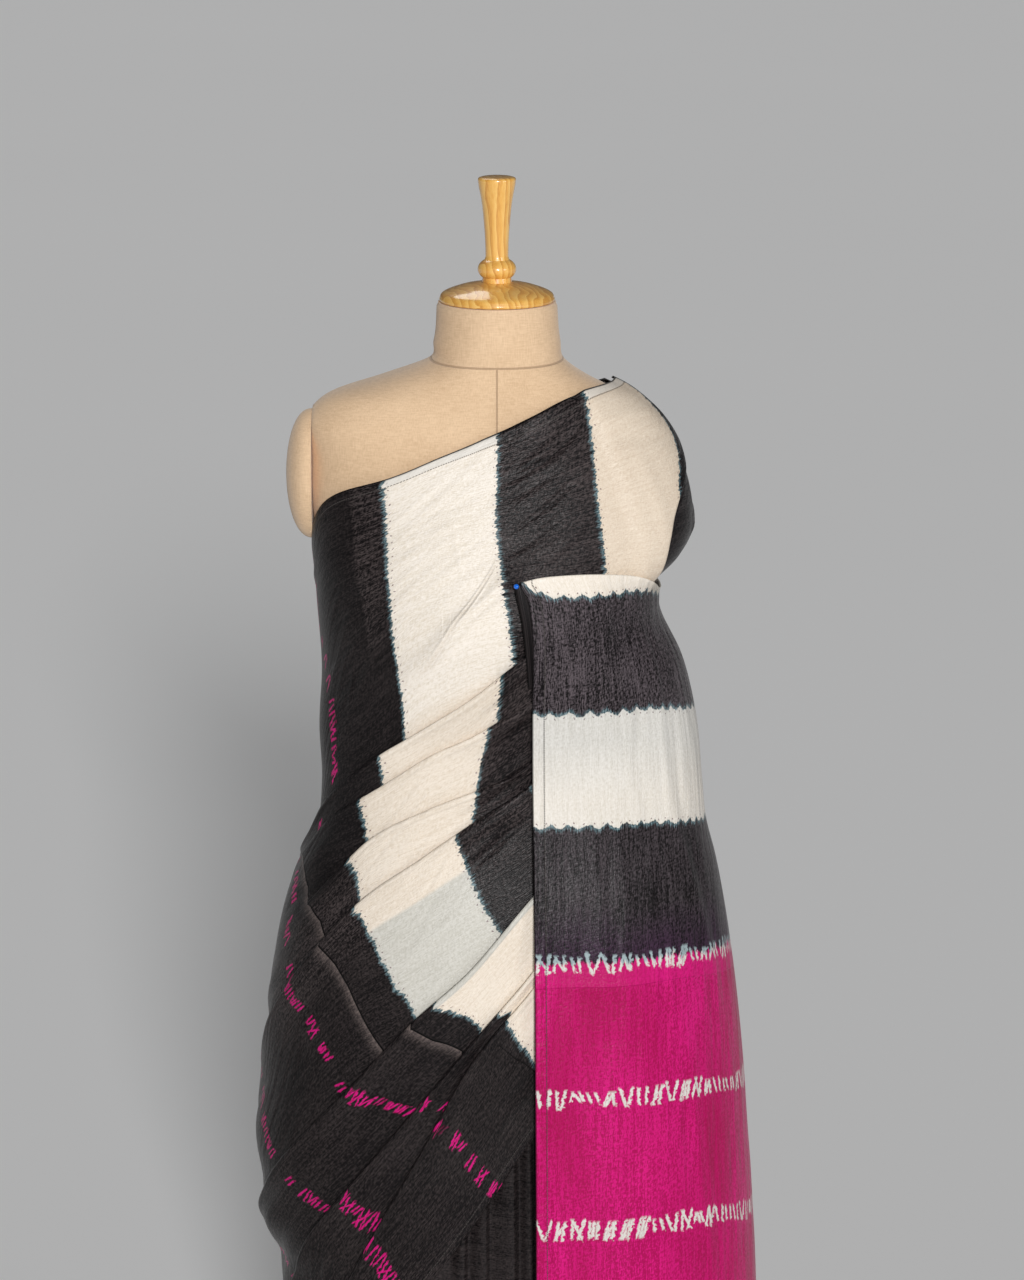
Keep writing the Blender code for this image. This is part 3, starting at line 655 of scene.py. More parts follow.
class Silk(Finish):
    """Slub silk whose pattern follows the UV map named cloth, in metres along and across."""

    def __init__(self, name):
        super().__init__(name, Specular_IOR_Level=0.12, Sheen_Weight=0.02, Sheen_Roughness=0.3)
        spot = self.node("ShaderNodeUVMap", {"uv_map": "cloth"})
        self.length, self.width, _ = self.parts(spot)
        length, width = self.length, self.width
        self.slub = self.noise(self.vector(length * 22, width * 380), 2.0) - 0.5
        self.dash = self.noise(self.vector(length * 240, width * 900, 3.0), 1.0) - 0.5
        slant, rise = length * 520 + width * 170, width * 190 - length * 80
        self.weft = self.noise(self.vector(slant, rise, 7.0), 1.0) - 0.5
        self.cloud = self.noise(self.vector(length * 11, width * 15, 11.0), 3.0) - 0.5
        self.threads = self.slub * 0.7 + self.dash * 1.0 + self.weft * 0.6
        self.teeth = self.noise(self.vector(length * 9, width * 210, 5.0), 1.0) - 0.5
        self.hairs = self.noise(self.vector(length * 60, width * 620, 9.0), 1.0) - 0.5
        self.patch = self.noise(self.vector(length * 30, width * 90, 13.0), 1.0)

    def weave(self, deep, bright, contrast, level=0.4):
        """A colour broken up by its threads, from the deepest to the brightest."""
        share = self.threads * contrast + self.cloud * 0.35 * contrast + level
        return self.mix(share.maths("MAXIMUM", 0.0, clamp=True), deep, bright)

    def edges(self, spots, depth, scallop=0.0):
        """Where the dyed edges really run, and how far each point is from the nearest one."""
        shift = self.teeth * depth + self.hairs * depth * 0.5
        if scallop:
            arc = (self.width * (math.pi / 0.0185) + self.cloud * 5.0).maths("SINE").size()
            shift = shift + arc * scallop
        self.dyed = self.length + shift
        near = (self.dyed - spots[0]).size()
        for spot in spots[1:]:
            near = near.least((self.dyed - spot).size())
        self.near = near

    def band(self, low, high):
        """1 in the stripe between two edges."""
        return self.dyed.above(low, DYE_SOFT) - self.dyed.above(high, DYE_SOFT)

    def bleed(self, colour, white):
        """Teal hairs on the dark side of each edge, and stitch holes on the pale side."""
        hair = (self.near + self.hairs * 0.011).below(0.0028, 0.0028) * self.patch.above(0.36, 0.2)
        pale = white * self.hairs.above(0.02, 0.1) * 0.28
        dark = (1.0 - white) * 0.75
        colour = self.mix(hair * (pale + dark), colour, self.weave(TEAL_DEEP, TEAL, 2.6, 0.5))
        hole = (self.width / 0.0093 + self.cloud * 2.0).maths("FRACT") - 0.5
        spot = hole.size().below(0.085, 0.05) * (self.near - 0.0034).size().below(0.0006, 0.0005)
        return self.mix(spot * white * 0.8, colour, STITCH_HOLE)

    def tied(self, off_row, row, cell, tall, seed, gaps=0.40):
        """Cells of slanted strokes along a tied row: 1 on a stroke."""
        wander = self.noise(self.vector(self.width * 280, self.length * 280, seed), 1.0) - 0.5
        spot = self.width / cell + wander * 0.34
        number = spot.floor()
        across = spot - number - 0.5
        luck = self.node("ShaderNodeTexWhiteNoise", {"noise_dimensions": "3D"},
                         {"Vector": self.vector(number, row, seed)}, output=1)
        one, two, three = self.parts(luck)
        up = (off_row + wander * 0.0040 + (one - 0.5) * 0.0030) / tall
        spread = one * 0.14 + 0.17
        left = (across + spread - up * (two - 0.5) * 0.52).size()
        right = (across - spread - up * (three - 0.5) * 0.52).size()
        middle = (across - up * (one - 0.5) * 1.1).size() + two.above(0.48, 0.01) * 0.5
        stroke = (left.least(right).least(middle) + wander * 0.14).below(0.094, 0.07)
        ends = (up.size() + (three - 0.5) * 0.6 + wander * 0.5).below(0.84, 0.30)
        return stroke * ends * (one + three * 0.35).above(gaps, 0.02)

    def tied_rows(self, along, pitch, grain, drift, shape):
        """Tied rows a pitch apart that wander a little, and how far each point is from its row."""
        row = (along / pitch + 0.5).floor()
        off_row = along - row * pitch
        slow = self.noise(self.vector(self.width * grain, row * 3.7, 2.0), 1.0) - 0.5
        return self.tied(off_row + slow * drift, row, *shape), off_row

    def stitches(self, at, run, colour):
        """A dashed line of machine stitches where the value at is zero, with dashes along run."""
        dash = (run / 0.0024).maths("FRACT").below(0.76, 0.12)
        line = at.size().below(0.00055, 0.0004) * dash
        return self.mix(line * 0.75, colour, STITCH)

    def fold_mark(self, at, reach=0.0160):
        """A storage crease: the cloth rises slowly to it, 0 to 1, and drops away behind it."""
        rise = (at / reach + 1.0).maths("MAXIMUM", 0.0)
        return rise * at.below(0.0, 0.0006)

    def surface(self, relief, roughness=0.36, grain=0.00042):
        """Bump and roughness from the same threads."""
        self.bump(self.threads * grain + relief, 1.0, 0.9)
        self.use("Roughness", self.threads * -0.22 + roughness)

    def pulls(self, depth):
        """Fine diagonal pulls in the cloth between its folds."""
        way = self.length * 0.82 - self.width * 0.57
        side = self.length * 0.57 + self.width * 0.82
        ridge = self.noise(self.vector(way * 7, side * 95, 21.0), 1.5) - 0.5
        return ridge * depth * self.noise(self.vector(way * 5, side * 12, 4.0), 0.0).above(0.45, 0.3)


print("a dyed edge fades over", DYE_SOFT * 1000, "mm")

# %% [markdown]
# ## The silk of the wrap
# Two ivory stripes lie on charcoal, and rows tied in magenta beyond them. Each stripe begins and ends
# at a length along the cloth, so it stays with the cloth through every fold. The silk was stored
# folded, and a crease runs along it. Colour also stands in for light: a painted highlight lies beside
# the crease, and painted shade greys one panel, darkens the ivory in the folds and deepens the
# charcoal where the cloth turns away.

# %% Wrap silk
STRIPE_EDGES = (0.0, 0.112, 0.215, 0.33)
# Widths of the panel that gets painted shade
SHADED_PANEL = (0.618, 0.765)
PRESS_MARKS = (0.049, 0.057)
SELVAGE_HEM = 0.0088
STITCHED_AT = (0.0094, 1.1385)


def crease_place(silk):
    """How far a point is from the storage crease, where that crease is sharp, and if it is the low one."""
    slant = ((silk.width - 0.337) * 0.40 - 0.1165).least(-0.055)
    at = silk.length - slant - silk.width.above(0.753, 0.002) * 0.021
    on = silk.width.above(0.345, 0.02) * silk.width.below(0.862, 0.01)
    lower = silk.length + 0.018 - (silk.width - 1.03) * 0.22
    near_hem = silk.width.above(1.012, 0.006)
    return at * (1.0 - near_hem) + lower * near_hem, on + near_hem * 0.6, near_hem


def wrap_black(silk, at, on, painted_highlight):
    """Charcoal, with painted shade where it turns away, behind the arm and below the hips, and a painted
    highlight and shadow at the crease.
    """
    # Painted shade: the chest's left side and upper folds turning from the light, and the fall behind the
    # arm
    painted_shade = silk.length.below(-0.033, 0.005).most(silk.width.above(0.185, 0.03))
    painted_shade = painted_shade * silk.length.below(0.0, 0.002) * silk.width.below(0.46, 0.03)
    painted_shade = painted_shade.most(silk.length.above(0.336, 0.006))
    black = silk.weave(BLACK_DEEP, BLACK_SHEEN, 2.4, 0.28)
    black = silk.mix(painted_shade * 0.62, black, BLACK_DEEP)
    # Painted shade below the hips
    black = silk.mix(silk.width.above(0.62, 0.05) * 0.48, black, BLACK_DEEP)
    # Painted highlight on the crease's rising side
    black = silk.mix(painted_highlight * 0.9, black, silk.weave(BLACK_SHEEN, BLACK_PAINTED_HIGHLIGHT, 2.4, 0.4))
    # Painted shadow along the crease line
    return silk.mix((at - 0.0004).size().below(0.0010, 0.0008) * on, black, CREASE_PAINTED_SHADOW)


def wrap_ivory(silk):
    """Ivory with painted shade: darker and warmer in the folds and over the shoulder, greyer in one panel.
    """
    ivory = silk.weave(IVORY_SHADE, IVORY, 2.4, 0.60)
    # Darker, warmer ivory in the folds and over the shoulder: cream tone with painted shade
    warm = silk.length.above(0.20, 0.02).most(silk.width.above(0.29, 0.02) * 0.5)
    ivory = silk.mix(warm, ivory, silk.weave(IVORY_WARM_SHADED_DEEP, IVORY_WARM_SHADED, 1.6, 0.55))
    # Painted shade: one panel greyer
    cool = silk.width.above(SHADED_PANEL[0], 0.004) * silk.width.below(SHADED_PANEL[1], 0.004)
    return silk.mix(cool, ivory, silk.weave(IVORY_PAINTED_SHADE_DEEP, IVORY_PAINTED_SHADE, 2.8, 0.60))


def magenta_rows(silk, along, shown, colour):
    """Tie magenta rows into a colour, where they are shown."""
    marks, _ = silk.tied_rows(along, ROW_PITCH, 16, 0.010, WRAP_STROKES)
    return silk.mix(marks * shown, colour, silk.weave(MAGENTA, MAGENTA_SPOT, 1.8, 0.6))


def chest_pull(silk):
    """The curved double ridge that the pin pulls into the chest, and the valley in it."""
    bend = (silk.length * silk.length * 7.65 + silk.length * 0.19 + silk.width - 0.2585) * 0.66
    bent = silk.length.above(0.024, 0.02) * silk.length.below(0.107, 0.006) * silk.width.below(0.28, 0.01)
    ridge = (bend.size() - 0.0027).size().below(0.0012, 0.0024) * bent
    return ridge, bend.size().below(0.0014, 0.0016) * bent


def wrap_silk():
    """Charcoal and ivory stripes, with magenta tied rows on the dark side."""
    silk = Silk("slub_silk_wrap")
    silk.edges(STRIPE_EDGES, 0.010)
    white = silk.band(*STRIPE_EDGES[:2]) + silk.band(*STRIPE_EDGES[2:])
    at, on, near_hem = crease_place(silk)
    rise = silk.fold_mark(at) * on
    # The last argument is the painted highlight beside the crease
    black = wrap_black(silk, at, on, rise * rise * (1.0 - near_hem))
    colour = silk.bleed(silk.mix(white, black, wrap_ivory(silk)), white)
    colour = magenta_rows(silk, silk.length - FIRST_ROW, silk.length.below(-0.07, 0.004), colour)
    hem = silk.width.below(SELVAGE_HEM, 0.0006)
    colour = silk.mix(hem * 0.6 * white, colour, PALE_HEM)
    colour = silk.mix(silk.width.below(0.0014, 0.0006) * 0.9, colour, BLACK_DEEP)
    for stitched in STITCHED_AT:
        colour = silk.stitches(silk.width - stitched, silk.length, colour)
    ridge, valley = chest_pull(silk)
    # Painted shade in the valley of the pinned double ridge
    silk.use("Base Color", silk.mix(valley * 0.14, colour, VALLEY_PAINTED_SHADE))
    pressed = silk.fold_mark(silk.length - PRESS_MARKS[0]) + silk.fold_mark(silk.length - PRESS_MARKS[1])
    creases = rise * 0.0012 + pressed * 0.0003 + hem * 0.0003
    silk.surface(creases + silk.pulls(0.0022) + ridge * 0.0008)
    return silk


wrap_finish = wrap_silk()
print("wrap silk nodes", len(wrap_finish.tree.nodes))

# %% [markdown]
# ## The silk of the pallu
# The end panel goes from ivory through charcoal, ivory and charcoal to magenta, and has ivory rows
# tied into it. Its stripes run across, and their edges are softly scalloped where the cloth was
# gathered on the thread. The same length coordinate gives every edge.

# %% Pallu silk
PALLU_STRIPES = (0.0163, 0.1425, 0.2590)
RED_FROM = 0.3955
PALLU_CREASE = RED_FROM + 0.0245
PALLU_HEM = 0.0112
PALLU_STITCH = 0.0118
PALLU_END_STITCH = 0.866


def pallu_black(silk):
    """Plum charcoal, deeper in the lower stripe and aubergine near the magenta."""
    dusk = (silk.length + silk.cloud * 0.05).above(RED_FROM - 0.034, 0.05)
    black = silk.weave(BLACK_DEEP, BLACK_PLUM, 2.6, 0.38)
    black = silk.mix(silk.length.above(0.20, 0.02) * 0.42, black, BLACK_DEEP)
    return silk.mix(dusk * 0.8, black, silk.weave(BLACK_DEEP, AUBERGINE, 2.0, 0.5))


def pallu_pale(silk, cool):
    """Ivory at the top fold, greyer below, and olive painted shade at the fold's far end."""
    warm = silk.length.below(0.08, 0.01).most(silk.length.above(0.205, 0.06) * 0.5)
    pale = silk.mix(warm, cool, silk.weave(IVORY_SHADE, IVORY, 1.6, 0.55))
    # Painted shade: olive where the top fold turns away at its far end
    olive_shade = silk.length.below(0.08, 0.01) * silk.width.above(0.158, 0.012)
    return silk.mix(olive_shade * 0.55, pale, OLIVE_PAINTED_SHADE)


def pallu_magenta(silk):
    """Magenta with broad deeper clouds, and lighter above the storage crease."""
    magenta = silk.weave(MAGENTA, MAGENTA_LIGHT, 4.0, 0.48)
    broad = silk.noise(silk.vector(silk.width * 15, silk.length * 4, 31.0), 2.0)
    magenta = silk.mix(broad.above(0.52, 0.3) * 0.6, magenta, MAGENTA_DEEP)
    return silk.mix(silk.length.below(PALLU_CREASE, 0.002) * 0.35, magenta, MAGENTA_LIGHT)


def pallu_silk():
    """Ivory, charcoal, ivory, charcoal, then magenta with ivory tied rows."""
    silk = Silk("slub_silk_pallu")
    silk.edges(PALLU_STRIPES, 0.006, -0.0045)
    white = 1.0 - silk.dyed.above(PALLU_STRIPES[0], DYE_SOFT) + silk.band(*PALLU_STRIPES[1:])
    cool = silk.weave(PALE_SHADE, PALE_HEM, 1.6, 0.6)
    colour = silk.bleed(silk.mix(white, pallu_black(silk), pallu_pale(silk, cool)), white)
    red = silk.length + silk.slub * 0.016 + silk.teeth * 0.010
    colour = silk.mix(red.above(RED_FROM, 0.003), colour, pallu_magenta(silk))
    rows_from = silk.length - (RED_FROM + 0.001)
    marks, off_row = silk.tied_rows(rows_from, PALLU_ROW_PITCH, 12, 0.006, PALLU_STROKES)
    upper = (off_row + silk.teeth * 0.02).below(-0.001, 0.004) * silk.length.below(0.45, 0.01)
    colour = silk.mix(marks * silk.length.above(0.35, 0.004), colour, silk.mix(upper * 0.8, cool, TEAL))
    colour = silk.stitches(silk.width - PALLU_STITCH, silk.length, colour)
    colour = silk.stitches(silk.length - PALLU_END_STITCH, silk.width, colour)
    silk.use("Base Color", silk.mix(silk.width.below(0.0010, 0.0006) * 0.7, colour, BLACK_DEEP))
    pucker = silk.noise(silk.vector(silk.length * 95, silk.width * 30, 8.0), 2.0)
    pucker = pucker * silk.width.below(PALLU_HEM, 0.0006)
    sag = silk.noise(silk.vector(silk.length * 9, silk.width * 70, 17.0), 1.5)
    creased = silk.fold_mark(silk.length - PALLU_CREASE)
    silk.surface(pucker * 0.0018 + sag * 0.0034 + creased * 0.0006)
    return silk


pallu_finish = pallu_silk()
print("pallu silk nodes", len(pallu_finish.tree.nodes))

# %% [markdown]
# ## The silk of the skirt
# The first round shows plain charcoal, with the same tied rows further round. In the front pleats a
# strong weave would look like a check, so this one is calmer.

# %% Skirt silk
HEM_STITCH = 1.004


def skirt_silk():
    """Charcoal with magenta tied rows."""
    silk = Silk("slub_silk_skirt")
    colour = silk.weave(BLACK_DEEP, BLACK_SHEEN, 0.8, 0.20)
    colour = magenta_rows(silk, silk.length, silk.length.above(0.30, 0.01), colour)
    silk.use("Base Color", silk.stitches(silk.width - HEM_STITCH, silk.length, colour))
    silk.surface(silk.pulls(0.0008), 0.34, 0.00010)
    return silk


skirt_finish = skirt_silk()
print("skirt silk nodes", len(skirt_finish.tree.nodes))

# %% [markdown]
# ## A sheet of cloth from a grid
# Draped cloth is still a grid of threads. So each stretch starts as a flat grid, every point is moved
# to its place on the figure, and its place in the cloth is kept in the UV map. A Solidify modifier
# then gives it the thickness of real silk.

# %% Cloth sheets
SILK_THICKNESS = 0.0006
CLOTH_SMOOTH = 75.0
WRAP_START = -235


def cloth(name, points, length, width, finish, replaced):
    """A draped sheet: rows run down the cloth, columns run round the figure."""
    rows, columns = points.shape[:2]
    sheet = bmesh.new()
    bmesh.ops.create_grid(sheet, x_segments=columns - 1, y_segments=rows - 1, size=1.0)
    bmesh.ops.reverse_faces(sheet, faces=sheet.faces)
    made = finish_piece(name, sheet, finish, replaced, faces_out=False)
    mesh = made.data
    mesh.vertices.foreach_set("co", points.reshape(-1).astype(np.float32))
    corner = np.empty(len(mesh.loops), dtype=np.int32)
    mesh.loops.foreach_get("vertex_index", corner)
    spots = np.stack((length.reshape(-1), width.reshape(-1)), axis=-1)[corner]
    layer = mesh.uv_layers.new(name="cloth")
    layer.uv.foreach_set("vector", spots.reshape(-1).astype(np.float32))
    mesh.update()
    mesh.set_sharp_from_angle(angle=math.radians(CLOTH_SMOOTH))
    wall = made.modifiers.new("silk", "SOLIDIFY")
    wall.thickness = SILK_THICKNESS
    wall.offset = -1.0
    print(name, rows, "by", columns, "points,", triangles(made), "triangles")
    return made


def sheet_area(points):
    """Area of a grid of points in square metres."""
    down = points[1:, :-1] - points[:-1, :-1]
    over = points[:-1, 1:] - points[:-1, :-1]
    return float(np.linalg.norm(np.cross(down, over), axis=-1).sum())


def turns(first, last, spacing):
    """Turns round the figure, about a spacing apart."""
    return np.linspace(first, last, max(2, round(abs(last - first) / spacing) + 1))


print("silk is", SILK_THICKNESS * 1000, "mm thick")

# %% [markdown]
# ## Where the dye lies
# The dyed stripes are straight across the flat cloth. On the figure each fold hides some cloth, so a
# stripe jumps sideways at every fold. Each row of the table is a share of a band's depth, from 0 at
# its top to 1 at its bottom. It gives the turn of each stripe's edge or tied row there, or None where
# that one doesn't show. Beyond the outer ones the cloth is measured along the fold.

# %% Dye lines
DYE_LENGTHS = (-0.345, -0.231, -0.117, 0.0, 0.112, 0.215, 0.33)
DYE_TURNS = {
    "upper_selvage": (
        (0.00, None, None, -86, -50.0, 0.1, 56.5, 95),
        (0.15, None, None, -84, -45.6, 0.0, 50.3, 90),
        (0.33, None, None, -84, -42.3, -0.7, 45.2, 83.5),
        (0.50, None, None, -76, -40.0, 1.0, 43.0, 72.5),
        (0.72, None, None, -70, -38.4, 3.0, 42.0, 70),
        (0.85, None, None, -69, -37.6, 4.7, 41.8, 70),
        (1.00, None, None, -70, -39.2, 6.6, 42.0, 70)),
    "waist_fold_1": (
        (0.0, None, None, -75, -48.3, 1.5, 40, None),
        (1.0, None, None, -80, -47.7, 0.0, 38, None)),
    "waist_fold_2": (
        (0.0, None, None, -86, -55.5, -4.3, 34, None),
        (1.0, None, None, -79, -52.0, -9.5, 30, None)),
    "waist_fold_3": (
        (0.0, None, None, -77, -57.0, -9.5, 28, None),
        (1.0, None, None, -69, -49.8, -11.0, 24, None)),
    "waist_fold_4": (
        (0.00, -100.0, -86.0, -68.5, -50.1, -17.4, 16, None),
        (0.21, -99.2, -82.9, -63.4, -44.3, -13.5, 19, None),
        (0.42, -98.3, -79.9, -58.6, -39.8, -9.7, 21, None),
        (0.67, -97.3, -75.2, -54.2, -34.9, -5.1, 24, None),
        (1.00, -96.0, -68.5, -48.3, -27.8, 1.0, 28, None)),
    "hip_fold_1": (
        (0.0, -90.0, -65.5, -46.0, -21.5, 15.4, 44, None),
        (1.0, -70.5, -50.6, -28.4, -5.5, 33.0, None, None)),
    "hip_fold_2": (
        (0.0, -69.0, -45.7, -23.8, 0.7, 36.0, None, None),
        (1.0, -58.0, -36.0, -17.4, 4.6, 38.0, None, None)),
    "hip_fold_3": (
        (0.0, -60.0, -38.0, -19.6, 3.5, 38.0, None, None),
        (0.2, -58.0, -36.1, -15.4, 7.4, 40.0, None, None),
        (0.5, -55.0, -33.2, -9.8, 13.0, 43.0, None, None),
        (1.0, -50.0, -27.0, 0.0, 22.0, 48.0, None, None)),
}
# How far down the cloth's own width each band starts
BAND_WIDTHS = {
    "upper_selvage": 0.0, "waist_fold_1": 0.30, "waist_fold_2": 0.36, "waist_fold_3": 0.45,
    "waist_fold_4": 0.58, "hip_fold_1": 0.76, "hip_fold_2": 0.90, "hip_fold_3": 1.00,
}
CLOTH_WIDTH = 1.15


def dye_along(turn, heights, known):
    """Length coordinate along one line round the figure, from the turns that are known on it."""
    points = figure(turn, heights)
    run = np.concatenate(((0.0,), np.cumsum(np.linalg.norm(np.diff(points, axis=0), axis=1))))
    pairs = [(spot, length) for spot, length in zip(known, DYE_LENGTHS) if spot is not None]
    spots, lengths = (np.array(column, float) for column in zip(*pairs))
    inside = np.interp(turn, spots, lengths)
    before = lengths[0] + run - np.interp(spots[0], turn, run)
    after = lengths[-1] + run - np.interp(spots[-1], turn, run)
    return np.where(turn < spots[0], before, np.where(turn > spots[-1], after, inside))


def band_dye(name, below, turn):
    """Length coordinate at a few rows of a band: shares of its depth, and the values there."""
    top, bottom = fold_height(name, turn), fold_height(below, turn)
    shares = [row[0] for row in DYE_TURNS[name]]
    rows = [dye_along(turn, top + (bottom - top) * row[0], row[1:]) for row in DYE_TURNS[name]]
    return shares, rows


def dye_table(turn):
    """Length coordinates of all bands, joined where a fold hasn't grown yet."""
    table = {name: band_dye(name, below, turn) for name, below in zip(FOLD_NAMES, FOLD_NAMES[1:])}
    for name, below in zip(FOLD_NAMES, FOLD_NAMES[1:-1]):
        upper, lower = table[name][1], table[below][1]
        meet = (upper[-1] + lower[0]) / 2
        growth = fold_growth(below, turn)
        upper[-1] = meet + (upper[-1] - meet) * growth
        lower[0] = meet + (lower[0] - meet) * growth
    return table


def dye_at(band, share):
    """Length coordinate at a share of a band's depth, as a row over all turns."""
    shares, rows = band
    spot = min(max(share, 0.0), 1.0)
    upper = max(index for index, value in enumerate(shares) if value <= spot)
    lower = min(upper + 1, len(shares) - 1)
    gap = max(shares[lower] - shares[upper], 1e-6)
    part = (spot - shares[upper]) / gap
    return rows[upper] * (1 - part) + rows[lower] * part


print("dye lines on", len(DYE_TURNS), "bands")

# %% [markdown]
# ## The wound cloth
# Each fold is a real one: the band above runs on under the edge, turns back, comes up and rolls over
# it. A column of the grid therefore goes down, up and down again. The profile is one short table, and
# where the fold hasn't grown yet, a flat spacing takes its place.

# %% Fold profile
# Columns: height from the edge where the fold is whole, and where it is flat, share of the step
FOLD_PROFILE = (
    (0.0040, 0.0060, 0.00),
    (-0.0010, 0.0048, 0.00),
    (-0.0055, 0.0036, 0.00),
    (-0.0090, 0.0024, 0.03),
    (-0.0105, 0.0012, 0.12),
    (-0.0090, 0.0000, 0.24),
    (-0.0050, -0.0008, 0.36),
    (-0.0008, -0.0016, 0.50),
    (0.0012, -0.0024, 0.70),
    (0.0009, -0.0032, 0.89),
    (-0.0012, -0.0042, 0.99),
    (-0.0045, -0.0056, 1.00),
)
PROFILE_TAIL = 5
ROLL_WIDTH = 0.012
SLANT_SHARE = 0.9


def base_lift(turn, height, table):
    """How far the cloth stands out between the folds."""
    return soft_wave(turn, height) + back_flutes(turn, height) + wrinkles(table, turn, height)


def chest_base(turn, height):
    """The chest sinks to the figure under the first waist fold, and rides over the shoulder fall."""
    near_fold = ease(0.0, 0.03, height - fold_height("waist_fold_1", turn))
    below_tuck = height - smooth(FOLD_TURNS, CHEST_TUCK, turn) + 0.012
    tuck = 0.0045 * ease(-50, -30, turn) * (1 - ease(0, 16, turn)) * np.exp(-(below_tuck / 0.016) ** 2)
    over_fall = 0.0050 * ease(50, 57, turn) + 0.0016 * ease(84, 94, turn)
    return (base_lift(turn, height, CHEST_WRINKLES) + tuck) * near_fold + over_fall


def profile_rows(name, turn, rows, table):
    """Heights and lifts of the rows of a fold's profile."""
    growth = fold_growth(name, turn)
    edge = fold_height(name, turn)
    heights, lifts = [], []
    for folded, flat, share in rows:
        height = edge + flat + (folded - flat) * growth
        heights.append(height)
        lifts.append(base_lift(turn, height, table) + fold_step(name, turn) * share)
    return heights, lifts


def band_rows(name, below, turn, count, table):
    """The rows of a band between two folds, without the rows of the folds themselves."""
    top = fold_height(name, turn)
    bottom = fold_height(below, turn)
    (last_folded, last_flat, _), (first_folded, first_flat, _) = FOLD_PROFILE[-1], FOLD_PROFILE[0]
    start = top + last_flat + (last_folded - last_flat) * fold_growth(name, turn)
    shares = np.linspace(0, 1, count)[1:]
    if below == FOLD_NAMES[-1]:
        end = bottom
    else:
        end = bottom + first_flat + (first_folded - first_flat) * fold_growth(below, turn)
        shares = shares[:-1]
    heights, lifts = [], []
    for share in shares:
        height = start + (end - start) * share
        down = np.clip((top - height) / np.maximum(top - bottom, 0.004), 0, 1)
        heights.append(height)
        lifts.append(base_lift(turn, height, table) + fold_step(name, turn) * (1 - down) ** 1.3)
    return heights, lifts, shares


def wound_cloth(bands, turn, counts, table):
    """Stack the bands and folds of one stretch into a grid of points, with its cloth coordinates."""
    dyes = dye_table(turn)
    heights, lifts, lengths, widths = [], [], [], []
    following = dict(zip(FOLD_NAMES, FOLD_NAMES[1:]))
    for name, count in zip(bands, counts):
        below = following[name]
        edge = fold_height(name, turn)
        rows = FOLD_PROFILE[PROFILE_TAIL - 1:] if name == bands[0] else FOLD_PROFILE[PROFILE_TAIL:]
        high, lift = profile_rows(name, turn, rows, table)
        heights += high
        lifts += lift
        lengths += [dye_at(dyes[name], 0.0)] * len(rows)
        widths += [BAND_WIDTHS[name] + ROLL_WIDTH * (index / len(rows) - 1) + 0 * turn
                   for index in range(len(rows))]
        high, lift, downs = band_rows(name, below, turn, count, table)
        heights += high
        lifts += lift
        lengths += [dye_at(dyes[name], down) for down in downs]
        if below == FOLD_NAMES[-1]:
            end = fold_height(below, turn)
            widths += [CLOTH_WIDTH - (row - end) * SLANT_SHARE for row in high]
        else:
            tail = FOLD_PROFILE[:PROFILE_TAIL]
            tail_high, tail_lift = profile_rows(below, turn, tail, table)
            heights += tail_high
            lifts += tail_lift
            lengths += [dye_at(dyes[name], 1.0)] * len(tail)
            widths += [BAND_WIDTHS[name] + (edge - row) * SLANT_SHARE for row in high + tail_high]
    grid = np.broadcast_to(turn, (len(heights), len(turn)))
    return place(grid, np.array(heights), np.array(lifts)), np.array(lengths), np.array(widths)


wound_turns = np.concatenate((
    turns(WRAP_START, -120, 1.7), turns(-118.6, -92, 1.3), turns(-91, 16, 0.92), turns(18, 50, 2.2)))
print(len(wound_turns), "columns round the figure")

# %% Waist folds
waist_points, waist_length, waist_width = wound_cloth(
    FOLD_NAMES[1:5], wound_turns, (10, 14, 14, 40), WAIST_WRINKLES)
waist = cloth("sari_waist_cloth", waist_points, waist_length, waist_width, wrap_finish,
              ("sari_waist_folds",))

# %% Hip folds
hip_points, hip_length, hip_width = wound_cloth(
    FOLD_NAMES[5:8], wound_turns, (34, 22, 36), HIP_WRINKLES)
hip = cloth("sari_hip_cloth", hip_points, hip_length, hip_width, wrap_finish,
            ("sari_hip_folds", "sari_back_wrap"))

# %% [markdown]
# ## The chest
# The upper selvage runs from the back, under the right arm and up over the left shoulder. The cloth
# ends where it turns back over the shoulder, so each row has its own last turn.

# %% Chest
SHOULDER_END = ((1.10, 66), (1.24, 65), (1.28, 66), (1.31, 72), (1.34, 86), (1.38, 104), (1.45, 104))
CHEST_ROWS = 84
BACK_SEAM = -100.0
SHOULDER_SEAM = 104.0
TUCK_UNDER = 0.010
DYE_STEPS = 28
CHEST_COLUMNS = 212
CHEST_SLANT = 0.94
EDGE_TURN_IN = 0.0030


